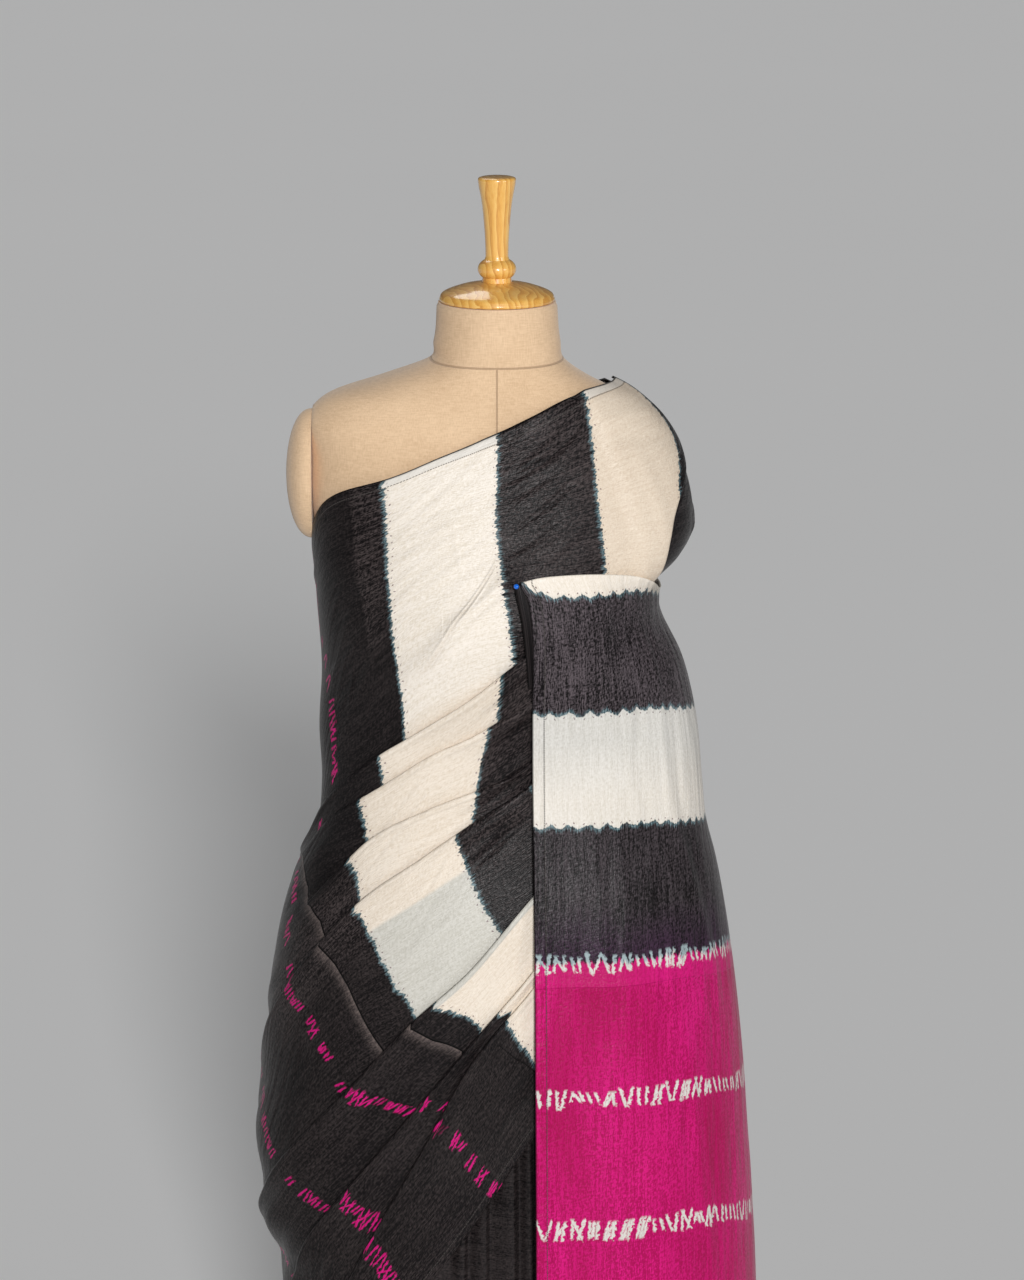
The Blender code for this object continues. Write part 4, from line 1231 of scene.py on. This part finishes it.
def chest_cloth():
    """Lay each row from the back seam to its own end, which depends on the height it has there."""
    back_turns = np.concatenate((turns(WRAP_START, -120, 1.7), turns(-118.6, -101, 1.3)))
    share = np.linspace(0, 1, CHEST_COLUMNS)
    rows = {"turn": [], "height": [], "length": [], "width": []}
    for down in np.linspace(0, 1, CHEST_ROWS):
        row_turn = np.concatenate((back_turns, BACK_SEAM + (SHOULDER_SEAM - BACK_SEAM) * share))
        # The end moves the row and the row moves the end, so a few passes settle both
        for _ in range(5):
            top = fold_height("upper_selvage", row_turn)
            tuck = TUCK_UNDER * fold_growth("waist_fold_1", row_turn)
            row_height = top + (fold_height("waist_fold_1", row_turn) - tuck - top) * down
            end = along(SHOULDER_END, row_height[-1])
            row_turn = np.concatenate((back_turns, BACK_SEAM + (end - BACK_SEAM) * share))
        whole = top - fold_height("waist_fold_1", row_turn)
        dyes = dye_table(row_turn)["upper_selvage"]
        spot = np.clip((top - row_height) / whole, 0, 1) * DYE_STEPS
        columns = np.arange(len(row_turn))
        steps_down = np.linspace(0, 1, DYE_STEPS + 1)
        values = np.array([dye_at(dyes, step_down) for step_down in steps_down])
        low = np.clip(spot.astype(int), 0, DYE_STEPS - 1)
        part = spot - low
        rows["turn"].append(row_turn)
        rows["height"].append(row_height)
        rows["length"].append(values[low, columns] * (1 - part) + values[low + 1, columns] * part)
        rows["width"].append((top - row_height) * CHEST_SLANT)
    grids = {key: np.array(value) for key, value in rows.items()}
    lift = chest_base(grids["turn"], grids["height"])
    last = np.arange(grids["turn"].shape[1])[None, :] / grids["turn"].shape[1]
    lift = lift - EDGE_TURN_IN * ease(0.992, 1.0, last)
    points = place(grids["turn"], grids["height"], lift)
    made = cloth("sari_chest_cloth", points, grids["length"], grids["width"], wrap_finish,
                 ("sari_chest",))
    return made, points


chest, chest_points = chest_cloth()

# %% [markdown]
# ## Over the shoulder and down behind the arm
# Past the shoulder the cloth falls down the back and comes forward again under the arm. Its outer
# border is a hem that catches the light.

# %% Shoulder fall
FALL_TOP = ((60, 1.442), (90, 1.434), (104, 1.430), (120, 1.408), (136, 1.355), (150, 1.285))
FALL_START = 62.0
FALL_END = 149.0
FALL_BOTTOM = 1.12
FALL_OVERLAP = 8.0
FALL_DYE = 0.345
FALL_PER_DEGREE = 0.0031
FALL_WIDTH = 0.33
FALL_WRINKLES = (
    (84, 1.230, 78, 1.300, 0.0050, -0.0016),
    (88, 1.200, 84, 1.330, 0.0060, 0.0018),
    (96, 1.160, 94, 1.340, 0.0070, -0.0016),
    (106, 1.150, 108, 1.360, 0.0080, 0.0020),
    (118, 1.150, 122, 1.350, 0.0080, -0.0016),
    (132, 1.150, 130, 1.330, 0.0080, 0.0018),
    (142, 1.150, 141, 1.290, 0.0070, -0.0014),
    (94, 1.296, 66, 1.214, 0.0036, 0.0024),
    (90, 1.304, 63, 1.224, 0.0032, -0.0018),
)


def shoulder_fall():
    """Hang the cloth from the shoulder line, a little clear of the figure behind the arm."""
    share = np.linspace(0, 1, 120)
    drop = np.linspace(0, 1, 100)[:, None]
    top = along(FALL_TOP, FALL_START + (FALL_END - FALL_START) * share)
    height = top + (FALL_BOTTOM - top) * drop
    start = along(SHOULDER_END, height[:, :1]) - FALL_OVERLAP
    turn = start + (FALL_END - start) * share
    outward = np.maximum(ease(84, 124, turn), ease(1.25, 1.19, height) * ease(80, 96, turn))
    lift = 0.0010 + 0.0040 * outward * ease(1.40, 1.22, height)
    lift = lift + wrinkles(FALL_WRINKLES, turn, height) * ease(80, 92, turn)
    points = place(turn, height, lift)
    length = FALL_DYE + (turn - 60) * FALL_PER_DEGREE
    width = drop * FALL_WIDTH + 0 * turn
    made = cloth("sari_shoulder_cloth", points, length, width, wrap_finish,
                 ("sari_shoulder_fall",))
    return made, points


fall, fall_points = shoulder_fall()

# %% [markdown]
# ## The pallu
# The sari's decorated end is folded over at the top, pinned at its corner and hangs in front. Its top
# is a soft roll, its front edge a narrow hem. It hangs from the roll in shallow flutes that widen
# towards the bottom.

# %% Pallu
PALLU_LIFT = 0.0155
PALLU_TOP_LIFT = 0.0093
PALLU_BOTTOM = 0.37
PALLU_BACK = 150.0
PALLU_FLUTE = 0.0036
PALLU_EDGE = ((0.37, 0.042), (0.70, 0.041), (1.10, 0.038), (1.20, 0.036), (1.238, 0.030), (1.252, 0.024))
PALLU_SAG = ((9, 0.0), (15, 0.0), (37, 0.002), (56, 0.004), (79, 0.020), (90, 0.027), (150, 0.030))
PALLU_TOP_SAG = ((5, -0.016), (9, -0.013), (12, -0.006), (16, 0.0), (37, 0.004), (52, 0.0063),
                 (73, 0.0093), (150, 0.0080))
PALLU_DATUM = 1.250
PALLU_TOP = ((9, 1.257), (15, 1.261), (28, 1.262), (40, 1.258), (56, 1.245), (66, 1.232), (76, 1.219),
             (100, 1.208), (150, 1.192))
PALLU_ROLL = ((-0.024, -0.0024), (-0.014, -0.0024), (-0.006, -0.0023), (-0.0012, -0.0020),
              (0.0002, -0.0012), (0.0004, -0.0004), (-0.0006, 0.0002))
PALLU_WRINKLES = (
    (30, 1.20, 26, 0.98, 0.0080, 0.0008),
    (52, 1.16, 58, 0.90, 0.0070, -0.0010),
    (60, 1.16, 70, 0.80, 0.0065, 0.0018),
    (66, 1.12, 76, 0.72, 0.0060, -0.0012),
    (22, 0.78, 24, 0.52, 0.0080, 0.0010),
    (40, 0.72, 44, 0.45, 0.0080, -0.0010),
    (56, 0.80, 60, 0.50, 0.0070, 0.0010),
    (24, 0.826, 46, 0.820, 0.0030, 0.0006),
    (30, 0.774, 52, 0.764, 0.0030, -0.0006),
    (100, 1.10, 106, 0.80, 0.0080, 0.0014),
    (120, 1.05, 124, 0.70, 0.0080, -0.0014),
    (136, 1.10, 134, 0.60, 0.0080, 0.0014),
)


def pallu_lift(turn, height):
    """The pallu lies close to the chest along its top fold, and hangs in soft flutes below."""
    close = ease(34, 50, turn) * ease(1.10, 1.20, height)
    wave = 1 + np.sin(np.radians(turn * 8.0) + 1.5 * np.sin(np.radians(turn * 2.3)))
    lift = PALLU_LIFT + (PALLU_TOP_LIFT - PALLU_LIFT) * close
    return lift + PALLU_FLUTE * wave * ease(1.23, 0.60, height)


def pallu_length(turn, height):
    """How far down the cloth a point lies: the stripes sag a little towards the back."""
    flare = 1 + 2 * np.maximum(0.0, 0.85 - height)
    sag = along(PALLU_SAG, turn) * flare + along(PALLU_TOP_SAG, turn) * ease(1.14, 1.21, height)
    return PALLU_DATUM - height - sag


def pallu_cloth():
    """Hang the panel from its top fold, and roll its top over to the back."""
    share = np.concatenate((np.linspace(0, 0.62, 112), np.linspace(0.63, 1, 34)))
    drop = np.concatenate((np.linspace(0.0035, 0.05, 14), np.linspace(0.055, 1, 160)))[:, None]
    span = PALLU_TOP[0][1] - PALLU_BOTTOM

    def turn_at(drops):
        edge_height = PALLU_TOP[0][1] - span * np.maximum(drops, 0.0)
        depth = reach(DRAPE_SECTIONS, "front", edge_height) + PALLU_LIFT
        first = np.degrees(np.arctan2(along(PALLU_EDGE, edge_height), depth))
        return first + (PALLU_BACK - first) * share

    turn = turn_at(drop)
    top = along(PALLU_TOP, turn)
    height = top + (PALLU_BOTTOM - top) * drop
    lift = pallu_lift(turn, height) + wrinkles(PALLU_WRINKLES, turn, height)
    roll = np.array(PALLU_ROLL)
    roll_turn = turn_at(-roll[:, :1] / span)
    roll_top = along(PALLU_TOP, roll_turn)
    roll_height = roll_top + roll[:, :1]
    roll_lift = pallu_lift(roll_turn, roll_top) + roll[:, 1:]
    turn = np.concatenate((roll_turn, turn))
    height = np.concatenate((roll_height, height))
    lift = np.concatenate((roll_lift, lift))
    points = place(turn, height, lift)
    length = pallu_length(turn, points[..., 2])
    length[:len(roll)] = length[len(roll)] - 0.002 * np.arange(len(roll), 0, -1)[:, None]
    over = np.linalg.norm(np.diff(points, axis=1), axis=-1)
    width = np.concatenate((np.zeros((len(points), 1)), np.cumsum(over, axis=1)), axis=1)
    made = cloth("sari_pallu_cloth", points, length, width, pallu_finish,
                 ("sari_pallu",))
    return made, points


pallu, pallu_points = pallu_cloth()

# %% [markdown]
# ## The layer behind the pallu's front edge
# At the pin the pallu's edge is turned back on itself, which shows as a dark triangle.

# %% Pallu return
CLOTH_WALL = 0.0022
RETURN_LIFT = PALLU_LIFT - CLOTH_WALL - 0.0010
RETURN_FIRST, RETURN_LOWER, RETURN_LAST = 6.6, 12.5, 22.0
RETURN_DYE = -0.055
RETURN_TOP = 1.2555
RETURN_DROP = 0.1215
RETURN_WIDTHS = (0.25, 0.30)


def pallu_return():
    """A narrow triangle of the charcoal side, just behind the pallu's front edge."""
    drop = np.linspace(0, 1, 40)[:, None]
    share = np.linspace(0, 1, 24)
    first = RETURN_FIRST + (RETURN_LOWER - RETURN_FIRST) * drop
    turn = first + (RETURN_LAST - first) * share
    height = RETURN_TOP - RETURN_DROP * drop + 0 * share
    ripple = 0.0006 * np.sin(share * 7.0 + drop * 3.0) - 0.0012 * ease(0.08, 0.0, share + 0 * drop)
    points = place(turn, height, RETURN_LIFT + ripple)
    width = RETURN_WIDTHS[0] + share * (RETURN_WIDTHS[1] - RETURN_WIDTHS[0]) + drop * 0
    made = cloth("sari_pallu_back_layer", points, RETURN_DYE + 0 * turn, width, wrap_finish,
                 ("sari_pallu_return",))
    return made, points


pallu_back, return_points = pallu_return()

# %% [markdown]
# ## The first round and the front pleats
# The first round of the sari is a tube to the floor. In front it is laid in knife pleats, whose edges
# hang as soft flutes.

# %% Skirt and pleats
WAIST_TOP = 1.03
HEM_HEIGHT = 0.014
SKIRT_SETBACK = -0.0125
SKIRT_FLUTE = 0.0034
SKIRT_PER_DEGREE = 0.0036
PLEAT_EDGES = (-15.5, -9.5, -2.3, 7.3, 12.0, 17.0, 23.0, 30.0, 37.0)
PLEAT_FIRST = -24.0
PLEAT_LAST = 44.0
PLEAT_STEP = 0.0072


def under_lift(turn, height):
    """The first round lies behind the wound cloth and meets it at the waist."""
    around = np.radians(turn)
    slack = SKIRT_FLUTE * (1 + np.sin(8 * around + 0.9 * np.sin(3 * around))) * ease(0.9, 0.25, height)
    hanging = ease(WAIST_TOP, WAIST_TOP - 0.06, height)
    return SKIRT_SETBACK * hanging - (CLOTH_WALL + 0.0006) * (1 - hanging) + slack


def under_cloth(name, turn, extra, replaced, start):
    """A stretch of the first round, from the waist to the hem."""
    height = np.linspace(WAIST_TOP, HEM_HEIGHT, 128)[:, None] + 0 * turn
    grid = turn + 0 * height
    lift = under_lift(grid, height) + extra(grid, height)
    points = place(grid, height, lift)
    length = start + (grid - turn[0]) * SKIRT_PER_DEGREE
    made = cloth(name, points, length, WAIST_TOP - height, skirt_finish, (replaced,))
    return made, points


def pleat_lift(turn, height):
    """Each pleat swells out slowly and drops back sharply at the next one's edge."""
    lift = np.zeros_like(height)
    for edge, following in zip(PLEAT_EDGES, PLEAT_EDGES[1:] + (PLEAT_LAST,)):
        part = (turn - edge) / (following - edge)
        inside = (part >= 0) & (part < 1)
        rise = ease(0.0, 0.70, part)
        fall_away = 1 - ease(0.80, 1.0, part)
        lift = lift + np.where(inside, PLEAT_STEP * rise * fall_away, 0.0)
    return lift * ease(1.03, 0.95, height)


def skirt_slack(turn, height):
    """Slack in the plain stretch of the skirt, growing towards the hem."""
    return 0.0010 * np.sin(np.radians(turn) * 23 + height * 9) * ease(0.8, 0.3, height)


skirt_turns = turns(PLEAT_LAST + 0.1, 360 + PLEAT_FIRST - 0.1, 1.5)
skirt, skirt_points = under_cloth("sari_skirt_cloth", skirt_turns, skirt_slack, "sari_skirt", 0.06)
pleat_turns = turns(PLEAT_FIRST, PLEAT_LAST, 0.36)
pleats, pleat_points = under_cloth("sari_pleats_cloth", pleat_turns, pleat_lift, "sari_front_pleats", 0.02)
print(len(PLEAT_EDGES), "pleats")

# %% [markdown]
# ## Linen cover
# The form is covered with plain linen, sewn along the front and the collar. The threads are uneven,
# and years of pins have raised its nap a little.

# %% Linen
LINEN = (0.810, 0.582, 0.375)
LINEN_SHADE = (0.640, 0.440, 0.268)
SEAM_SHADE = (0.33, 0.20, 0.12)
COLLAR_HEIGHT = 1.4375


def linen_finish():
    """Uneven warp and weft in two shades, with a seam down the front and one round the collar."""
    linen = Finish("form_linen", Specular_IOR_Level=0.25, Sheen_Weight=0.2, Sheen_Roughness=0.5)
    spot = linen.node("ShaderNodeTexCoord", output=3)
    x, y, z = linen.parts(spot)
    warp = linen.noise(linen.vector(x * 900, y * 900, z * 110), 2.0)
    weft = linen.noise(linen.vector(x * 120, y * 120, z * 1000), 2.0)
    cloud = linen.noise(spot, 3.0, 14.0)
    level = (warp - 0.5) * 0.7 + (weft - 0.5) * 0.7 + (cloud - 0.5) * 0.6
    colour = linen.mix(level.maths("MULTIPLY_ADD", 1.9, 0.5, clamp=True), LINEN_SHADE, LINEN)
    front_seam = x.size().below(0.0007, 0.0005) * y.below(0.0, 0.001) * z.below(1.437, 0.002)
    collar = (z - COLLAR_HEIGHT - y * 0.02).size().below(0.0008, 0.0006)
    seam = front_seam.most(collar)
    colour = linen.mix(seam * 0.6, colour, SEAM_SHADE)
    linen.use("Base Color", colour)
    linen.use("Roughness", warp * 0.1 + 0.78)
    linen.bump(warp * 0.00025 + weft * 0.00025 - seam * 0.0008, 1.0, 0.8)
    return linen


linen = linen_finish()
print("linen nodes", len(linen.tree.nodes))

# %% [markdown]
# ## The form
# The figure is a stack of rounded ovals, cut flat at both armholes. A grid is wrapped round it and
# its two sides are welded, so the section table alone shapes it.

# %% Form torso
ARMHOLE_RIGHT = -0.1855
ARMHOLE_LEFT = 0.160
FORM_BOTTOM = 0.80
NECK_TOP = 1.494
TORSO_COLUMNS = 144
BODY_SMOOTH = 42.0
RIM_SHARE = 0.98


def form_torso():
    """Rounded ovals that turn to circles at the neck, cut flat at both armholes."""
    heights = np.concatenate((
        (FORM_BOTTOM, 0.803, 0.808, 0.814), np.linspace(0.825, 1.36, 60), np.linspace(1.365, 1.455, 46),
        np.linspace(1.46, 1.490, 10), (1.4925, NECK_TOP)))
    angle = np.linspace(0, 2 * math.pi, TORSO_COLUMNS + 1)[None, :]
    z = heights[:, None] + 0 * angle
    across, depth = np.sin(angle), -np.cos(angle)
    wide = np.where(across < 0, reach(FORM_SECTIONS, "right", z), reach(FORM_SECTIONS, "left", z))
    deep = np.where(depth < 0, reach(FORM_SECTIONS, "front", z), reach(FORM_SECTIONS, "back", z))
    power = 2 / (2.0 + (SECTION_POWER - 2.0) * ease(1.455, 1.42, z))
    x = np.sign(across) * np.abs(across) ** power * wide
    y = np.sign(depth) * np.abs(depth) ** power * deep
    rim = np.where(z > 1.4915, RIM_SHARE, 1.0)
    x = np.clip(x, ARMHOLE_RIGHT, ARMHOLE_LEFT) * rim
    y = y * rim
    points = np.stack((x, y, z), axis=-1)
    body = bmesh.new()
    bmesh.ops.create_grid(body, x_segments=TORSO_COLUMNS, y_segments=len(heights) - 1, size=1.0)
    for vert, point in zip(body.verts, points.reshape(-1, 3)):
        vert.co = point
    bmesh.ops.remove_doubles(body, verts=body.verts, dist=0.00001)
    bmesh.ops.edgeloop_fill(body, edges=[edge for edge in body.edges if edge.is_boundary])
    return finish_piece("form_body", body, linen, ("form_torso",), BODY_SMOOTH)


torso = form_torso()
print("torso", triangles(torso), "triangles")

# %% [markdown]
# ## Armhole domes
# A padded oval dome closes each armhole. It is half a ball, pressed to its size, with a flat back on
# the form and a sewn rim.

# %% Armhole domes
def armhole_dome(name, plate_x, direction, cap_reach, middle, half_high, half_deep, replaced):
    """Half a ball on the armhole's flat side, pressed to its reach, height and depth."""
    dome = bmesh.new()
    bmesh.ops.create_uvsphere(dome, u_segments=64, v_segments=40, radius=1.0)
    bmesh.ops.rotate(dome, verts=dome.verts, cent=(0, 0, 0), matrix=Matrix.Rotation(math.pi / 2, 3, "Y"))
    bmesh.ops.bisect_plane(dome, geom=dome.verts[:] + dome.edges[:] + dome.faces[:], dist=0.0001,
                           plane_co=(0, 0, 0), plane_no=(direction, 0, 0), clear_inner=True)
    bmesh.ops.edgeloop_fill(dome, edges=[edge for edge in dome.edges if edge.is_boundary])
    for vert in dome.verts:
        x, y, z = vert.co
        full = abs(x) ** 0.86 * direction
        vert.co = (plate_x + full * cap_reach, y * half_deep, middle + z * half_high)
    return finish_piece(name, dome, linen, (replaced,))


SEAM_GAP = 0.0003
right_plate, left_plate = ARMHOLE_RIGHT - SEAM_GAP, ARMHOLE_LEFT + SEAM_GAP
armhole_dome("form_dome_right", right_plate, -1, 0.027, 1.319, 0.066, 0.048, "form_cap_right")
armhole_dome("form_dome_left", left_plate, 1, 0.018, 1.312, 0.048, 0.048, "form_cap_left")
print("armhole domes at", right_plate, "and", left_plate)

# %% [markdown]
# ## Turned wood
# The neck cap, ball and flared handle are turned from one piece of pale wood and varnished. Long
# streaks run up the handle, and the cap shows the grain of its face as wide arcs. The varnish is a
# clear coat.

# %% Wood
WOOD_STOPS = ((0.15, (0.58, 0.240, 0.040)), (0.45, (0.82, 0.430, 0.090)), (0.8, (0.93, 0.580, 0.170)))


def wood_finish():
    """Growth rings and fine fibres, under a clear coat."""
    wood = Finish("honey_wood", Coat_Weight=0.9, Coat_Roughness=0.06, Specular_IOR_Level=0.5)
    spot = wood.node("ShaderNodeTexCoord", output=3)
    x, y, z = wood.parts(spot)
    drift = wood.noise(wood.vector(x * 26, y * 26, z * 6), 3.0)
    ring = (x * 120 + y * 40 + z * 9 + drift * 5.0).maths("FRACT")
    rings = ring.size().above(0.5, 0.9)
    fibre = wood.noise(wood.vector(x * 900, y * 900, z * 36), 3.0)
    level = rings * 0.45 + fibre * 0.55 + (drift - 0.5) * 0.3
    wood.use("Base Color", wood.ramp(level, WOOD_STOPS))
    wood.use("Roughness", fibre * 0.14 + 0.26)
    wood.bump(fibre * 0.00008, 1.0, 0.5)
    return wood


wood = wood_finish()
print("wood nodes", len(wood.tree.nodes))

# %% Finial
def spun(name, profile, finish, replaced, steps=96, smooth_angle=38.0):
    """Spin a profile of radius and height about the vertical axis."""
    shape = bmesh.new()
    line = [shape.verts.new((radius, 0, z)) for radius, z in profile]
    edges = [shape.edges.new(pair) for pair in zip(line, line[1:])]
    bmesh.ops.spin(shape, geom=line + edges, cent=(0, 0, 0), axis=(0, 0, 1), angle=2 * math.pi,
                   steps=steps, use_merge=True)
    bmesh.ops.remove_doubles(shape, verts=shape.verts, dist=0.00001)
    return finish_piece(name, shape, finish, replaced, smooth_angle)


def oval_points(centre, wide, high, low_angle, high_angle, count):
    """Radius and height of points on a turned oval ball."""
    spread = np.radians(np.linspace(low_angle, high_angle, count))
    return [(wide * math.cos(a), centre + high * math.sin(a)) for a in spread]


def curve_points(table, low, high, count):
    """Radius and height of points on a smooth curve through a table."""
    heights = np.linspace(low, high, count)
    return [(float(radius), float(z)) for radius, z in zip(along(table, heights), heights)]


CAP_BOTTOM = NECK_TOP + SEAM_GAP
CAP_CURVE = ((0.003, 0.0580), (0.0085, 0.0545), (0.0135, 0.043), (0.0175, 0.028), (0.0195, 0.0150))
HANDLE_CURVE = ((1.5392, 0.0115), (1.5500, 0.0117), (1.5720, 0.0130), (1.5950, 0.0155), (1.6120, 0.0186),
                (1.6150, 0.0190))
HANDLE_END = [(0.0189, 1.6164), (0.0184, 1.6174), (0.0174, 1.6180), (0.0150, 1.6186), (0.0075, 1.6188),
              (0, 1.6188)]
CAP_RIM = ((0.0, 0.0), (0.0560, 0.0), (0.0572, 0.0005), (0.0579, 0.0018))
cap_rim = [(radius, CAP_BOTTOM + rise) for radius, rise in CAP_RIM]
cap_table = [(CAP_BOTTOM + rise, radius) for rise, radius in CAP_CURVE]
finial_profile = (
    cap_rim
    + curve_points(cap_table, cap_table[0][0], cap_table[-1][0], 26)
    + oval_points(1.5265, 0.0193, 0.0125, -42, 50, 26)
    + [(0.0117, 1.5385)]
    + curve_points(HANDLE_CURVE, HANDLE_CURVE[0][0], HANDLE_CURVE[-1][0], 24)
    + HANDLE_END)
finial = spun("turned_finial", finial_profile, wood, ("form_finial",))
print("finial", triangles(finial), "triangles")

# %% [markdown]
# ## Pole and base
# The form stands on a steel pole in a round base, both with a satin black coat.

# %% Stand
def steel_finish():
    """Satin black paint with a faint orange peel."""
    steel = Finish("satin_black_steel", Metallic=0.0, Specular_IOR_Level=0.5, Coat_Weight=0.25)
    spot = steel.node("ShaderNodeTexCoord", output=3)
    peel = steel.noise(spot, 2.0, 420.0)
    wear = steel.noise(spot, 4.0, 30.0)
    steel.use("Base Color", steel.mix(wear, shade(30, 30, 32), shade(46, 46, 48)))
    steel.use("Roughness", wear * 0.15 + 0.32)
    steel.bump(peel * 0.00005, 1.0, 0.5)
    return steel


POLE_RADIUS = 0.016
BASE_RADIUS = 0.18
BASE_HEIGHT = 0.028
steel = steel_finish()
pole_low, pole_high = BASE_HEIGHT + SEAM_GAP, FORM_BOTTOM - SEAM_GAP
spun("stand_tube", [(0, pole_low), (POLE_RADIUS, pole_low), (POLE_RADIUS, pole_high), (0, pole_high)],
     steel, ("stand_pole",), 48)
base_profile = [
    (0, 0), (BASE_RADIUS - 0.002, 0), (BASE_RADIUS, 0.002), (BASE_RADIUS, 0.0065),
    (BASE_RADIUS - 0.0008, 0.0085), (BASE_RADIUS - 0.0030, 0.0108), (BASE_RADIUS - 0.008, 0.0140),
    (0.12, 0.0205), (0.052, 0.0276), (0.048, BASE_HEIGHT), (0, BASE_HEIGHT)]
spun("stand_foot", base_profile, steel, ("stand_base",), 128)
print("base", 2 * BASE_RADIUS, "m across")

# %% [markdown]
# ## The pin
# A dressmaker's pin with a round glass head holds the pallu's corner. Its steel shaft goes through
# the folded edge, so only the head shows.

# %% Pin
def enamel_finish():
    """Blue glass with a faint swirl."""
    enamel = Finish("blue_pin_head", Roughness=0.12, Coat_Weight=0.6, Coat_Roughness=0.05)
    spot = enamel.node("ShaderNodeTexCoord", output=3)
    swirl = enamel.noise(spot, 1.0, 600.0)
    enamel.use("Base Color", enamel.mix(swirl, shade(10, 92, 205), shade(20, 120, 232)))
    return enamel


pin_low, pin_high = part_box("pin_head")
pin_centre = (np.array(pin_low) + np.array(pin_high)) / 2
pin_radius = float(pin_high[2] - pin_low[2]) / 2
head = bmesh.new()
bmesh.ops.create_icosphere(head, subdivisions=4, radius=pin_radius)
bmesh.ops.translate(head, verts=head.verts, vec=pin_centre)
finish_piece("pin_ball", head, enamel_finish(), ("pin_head",))
print("pin head radius", round(pin_radius, 4))

# %% [markdown]
# ## What each sheet was cut to
# Every stretch is a share of the one length of cloth. Its first size is the width of the silk, or the
# length of a stretch, that shows. The other is worked out from the area of the finished shell.

SHEETS = (
    (chest, chest_points, 0.28),
    (waist, waist_points, 0.42),
    (hip, hip_points, 0.50),
    (fall, fall_points, 0.28),
    (pallu, pallu_points, 0.87),
    (pallu_back, return_points, 0.105),
    (skirt, skirt_points, 1.02),
    (pleats, pleat_points, 1.02),
)
for sheet_piece, sheet_points, sheet_width in SHEETS:
    sheet_run = round(sheet_area(sheet_points) / sheet_width, 3)
    print(sheet_piece.name, "flat", sheet_width, "by", sheet_run)
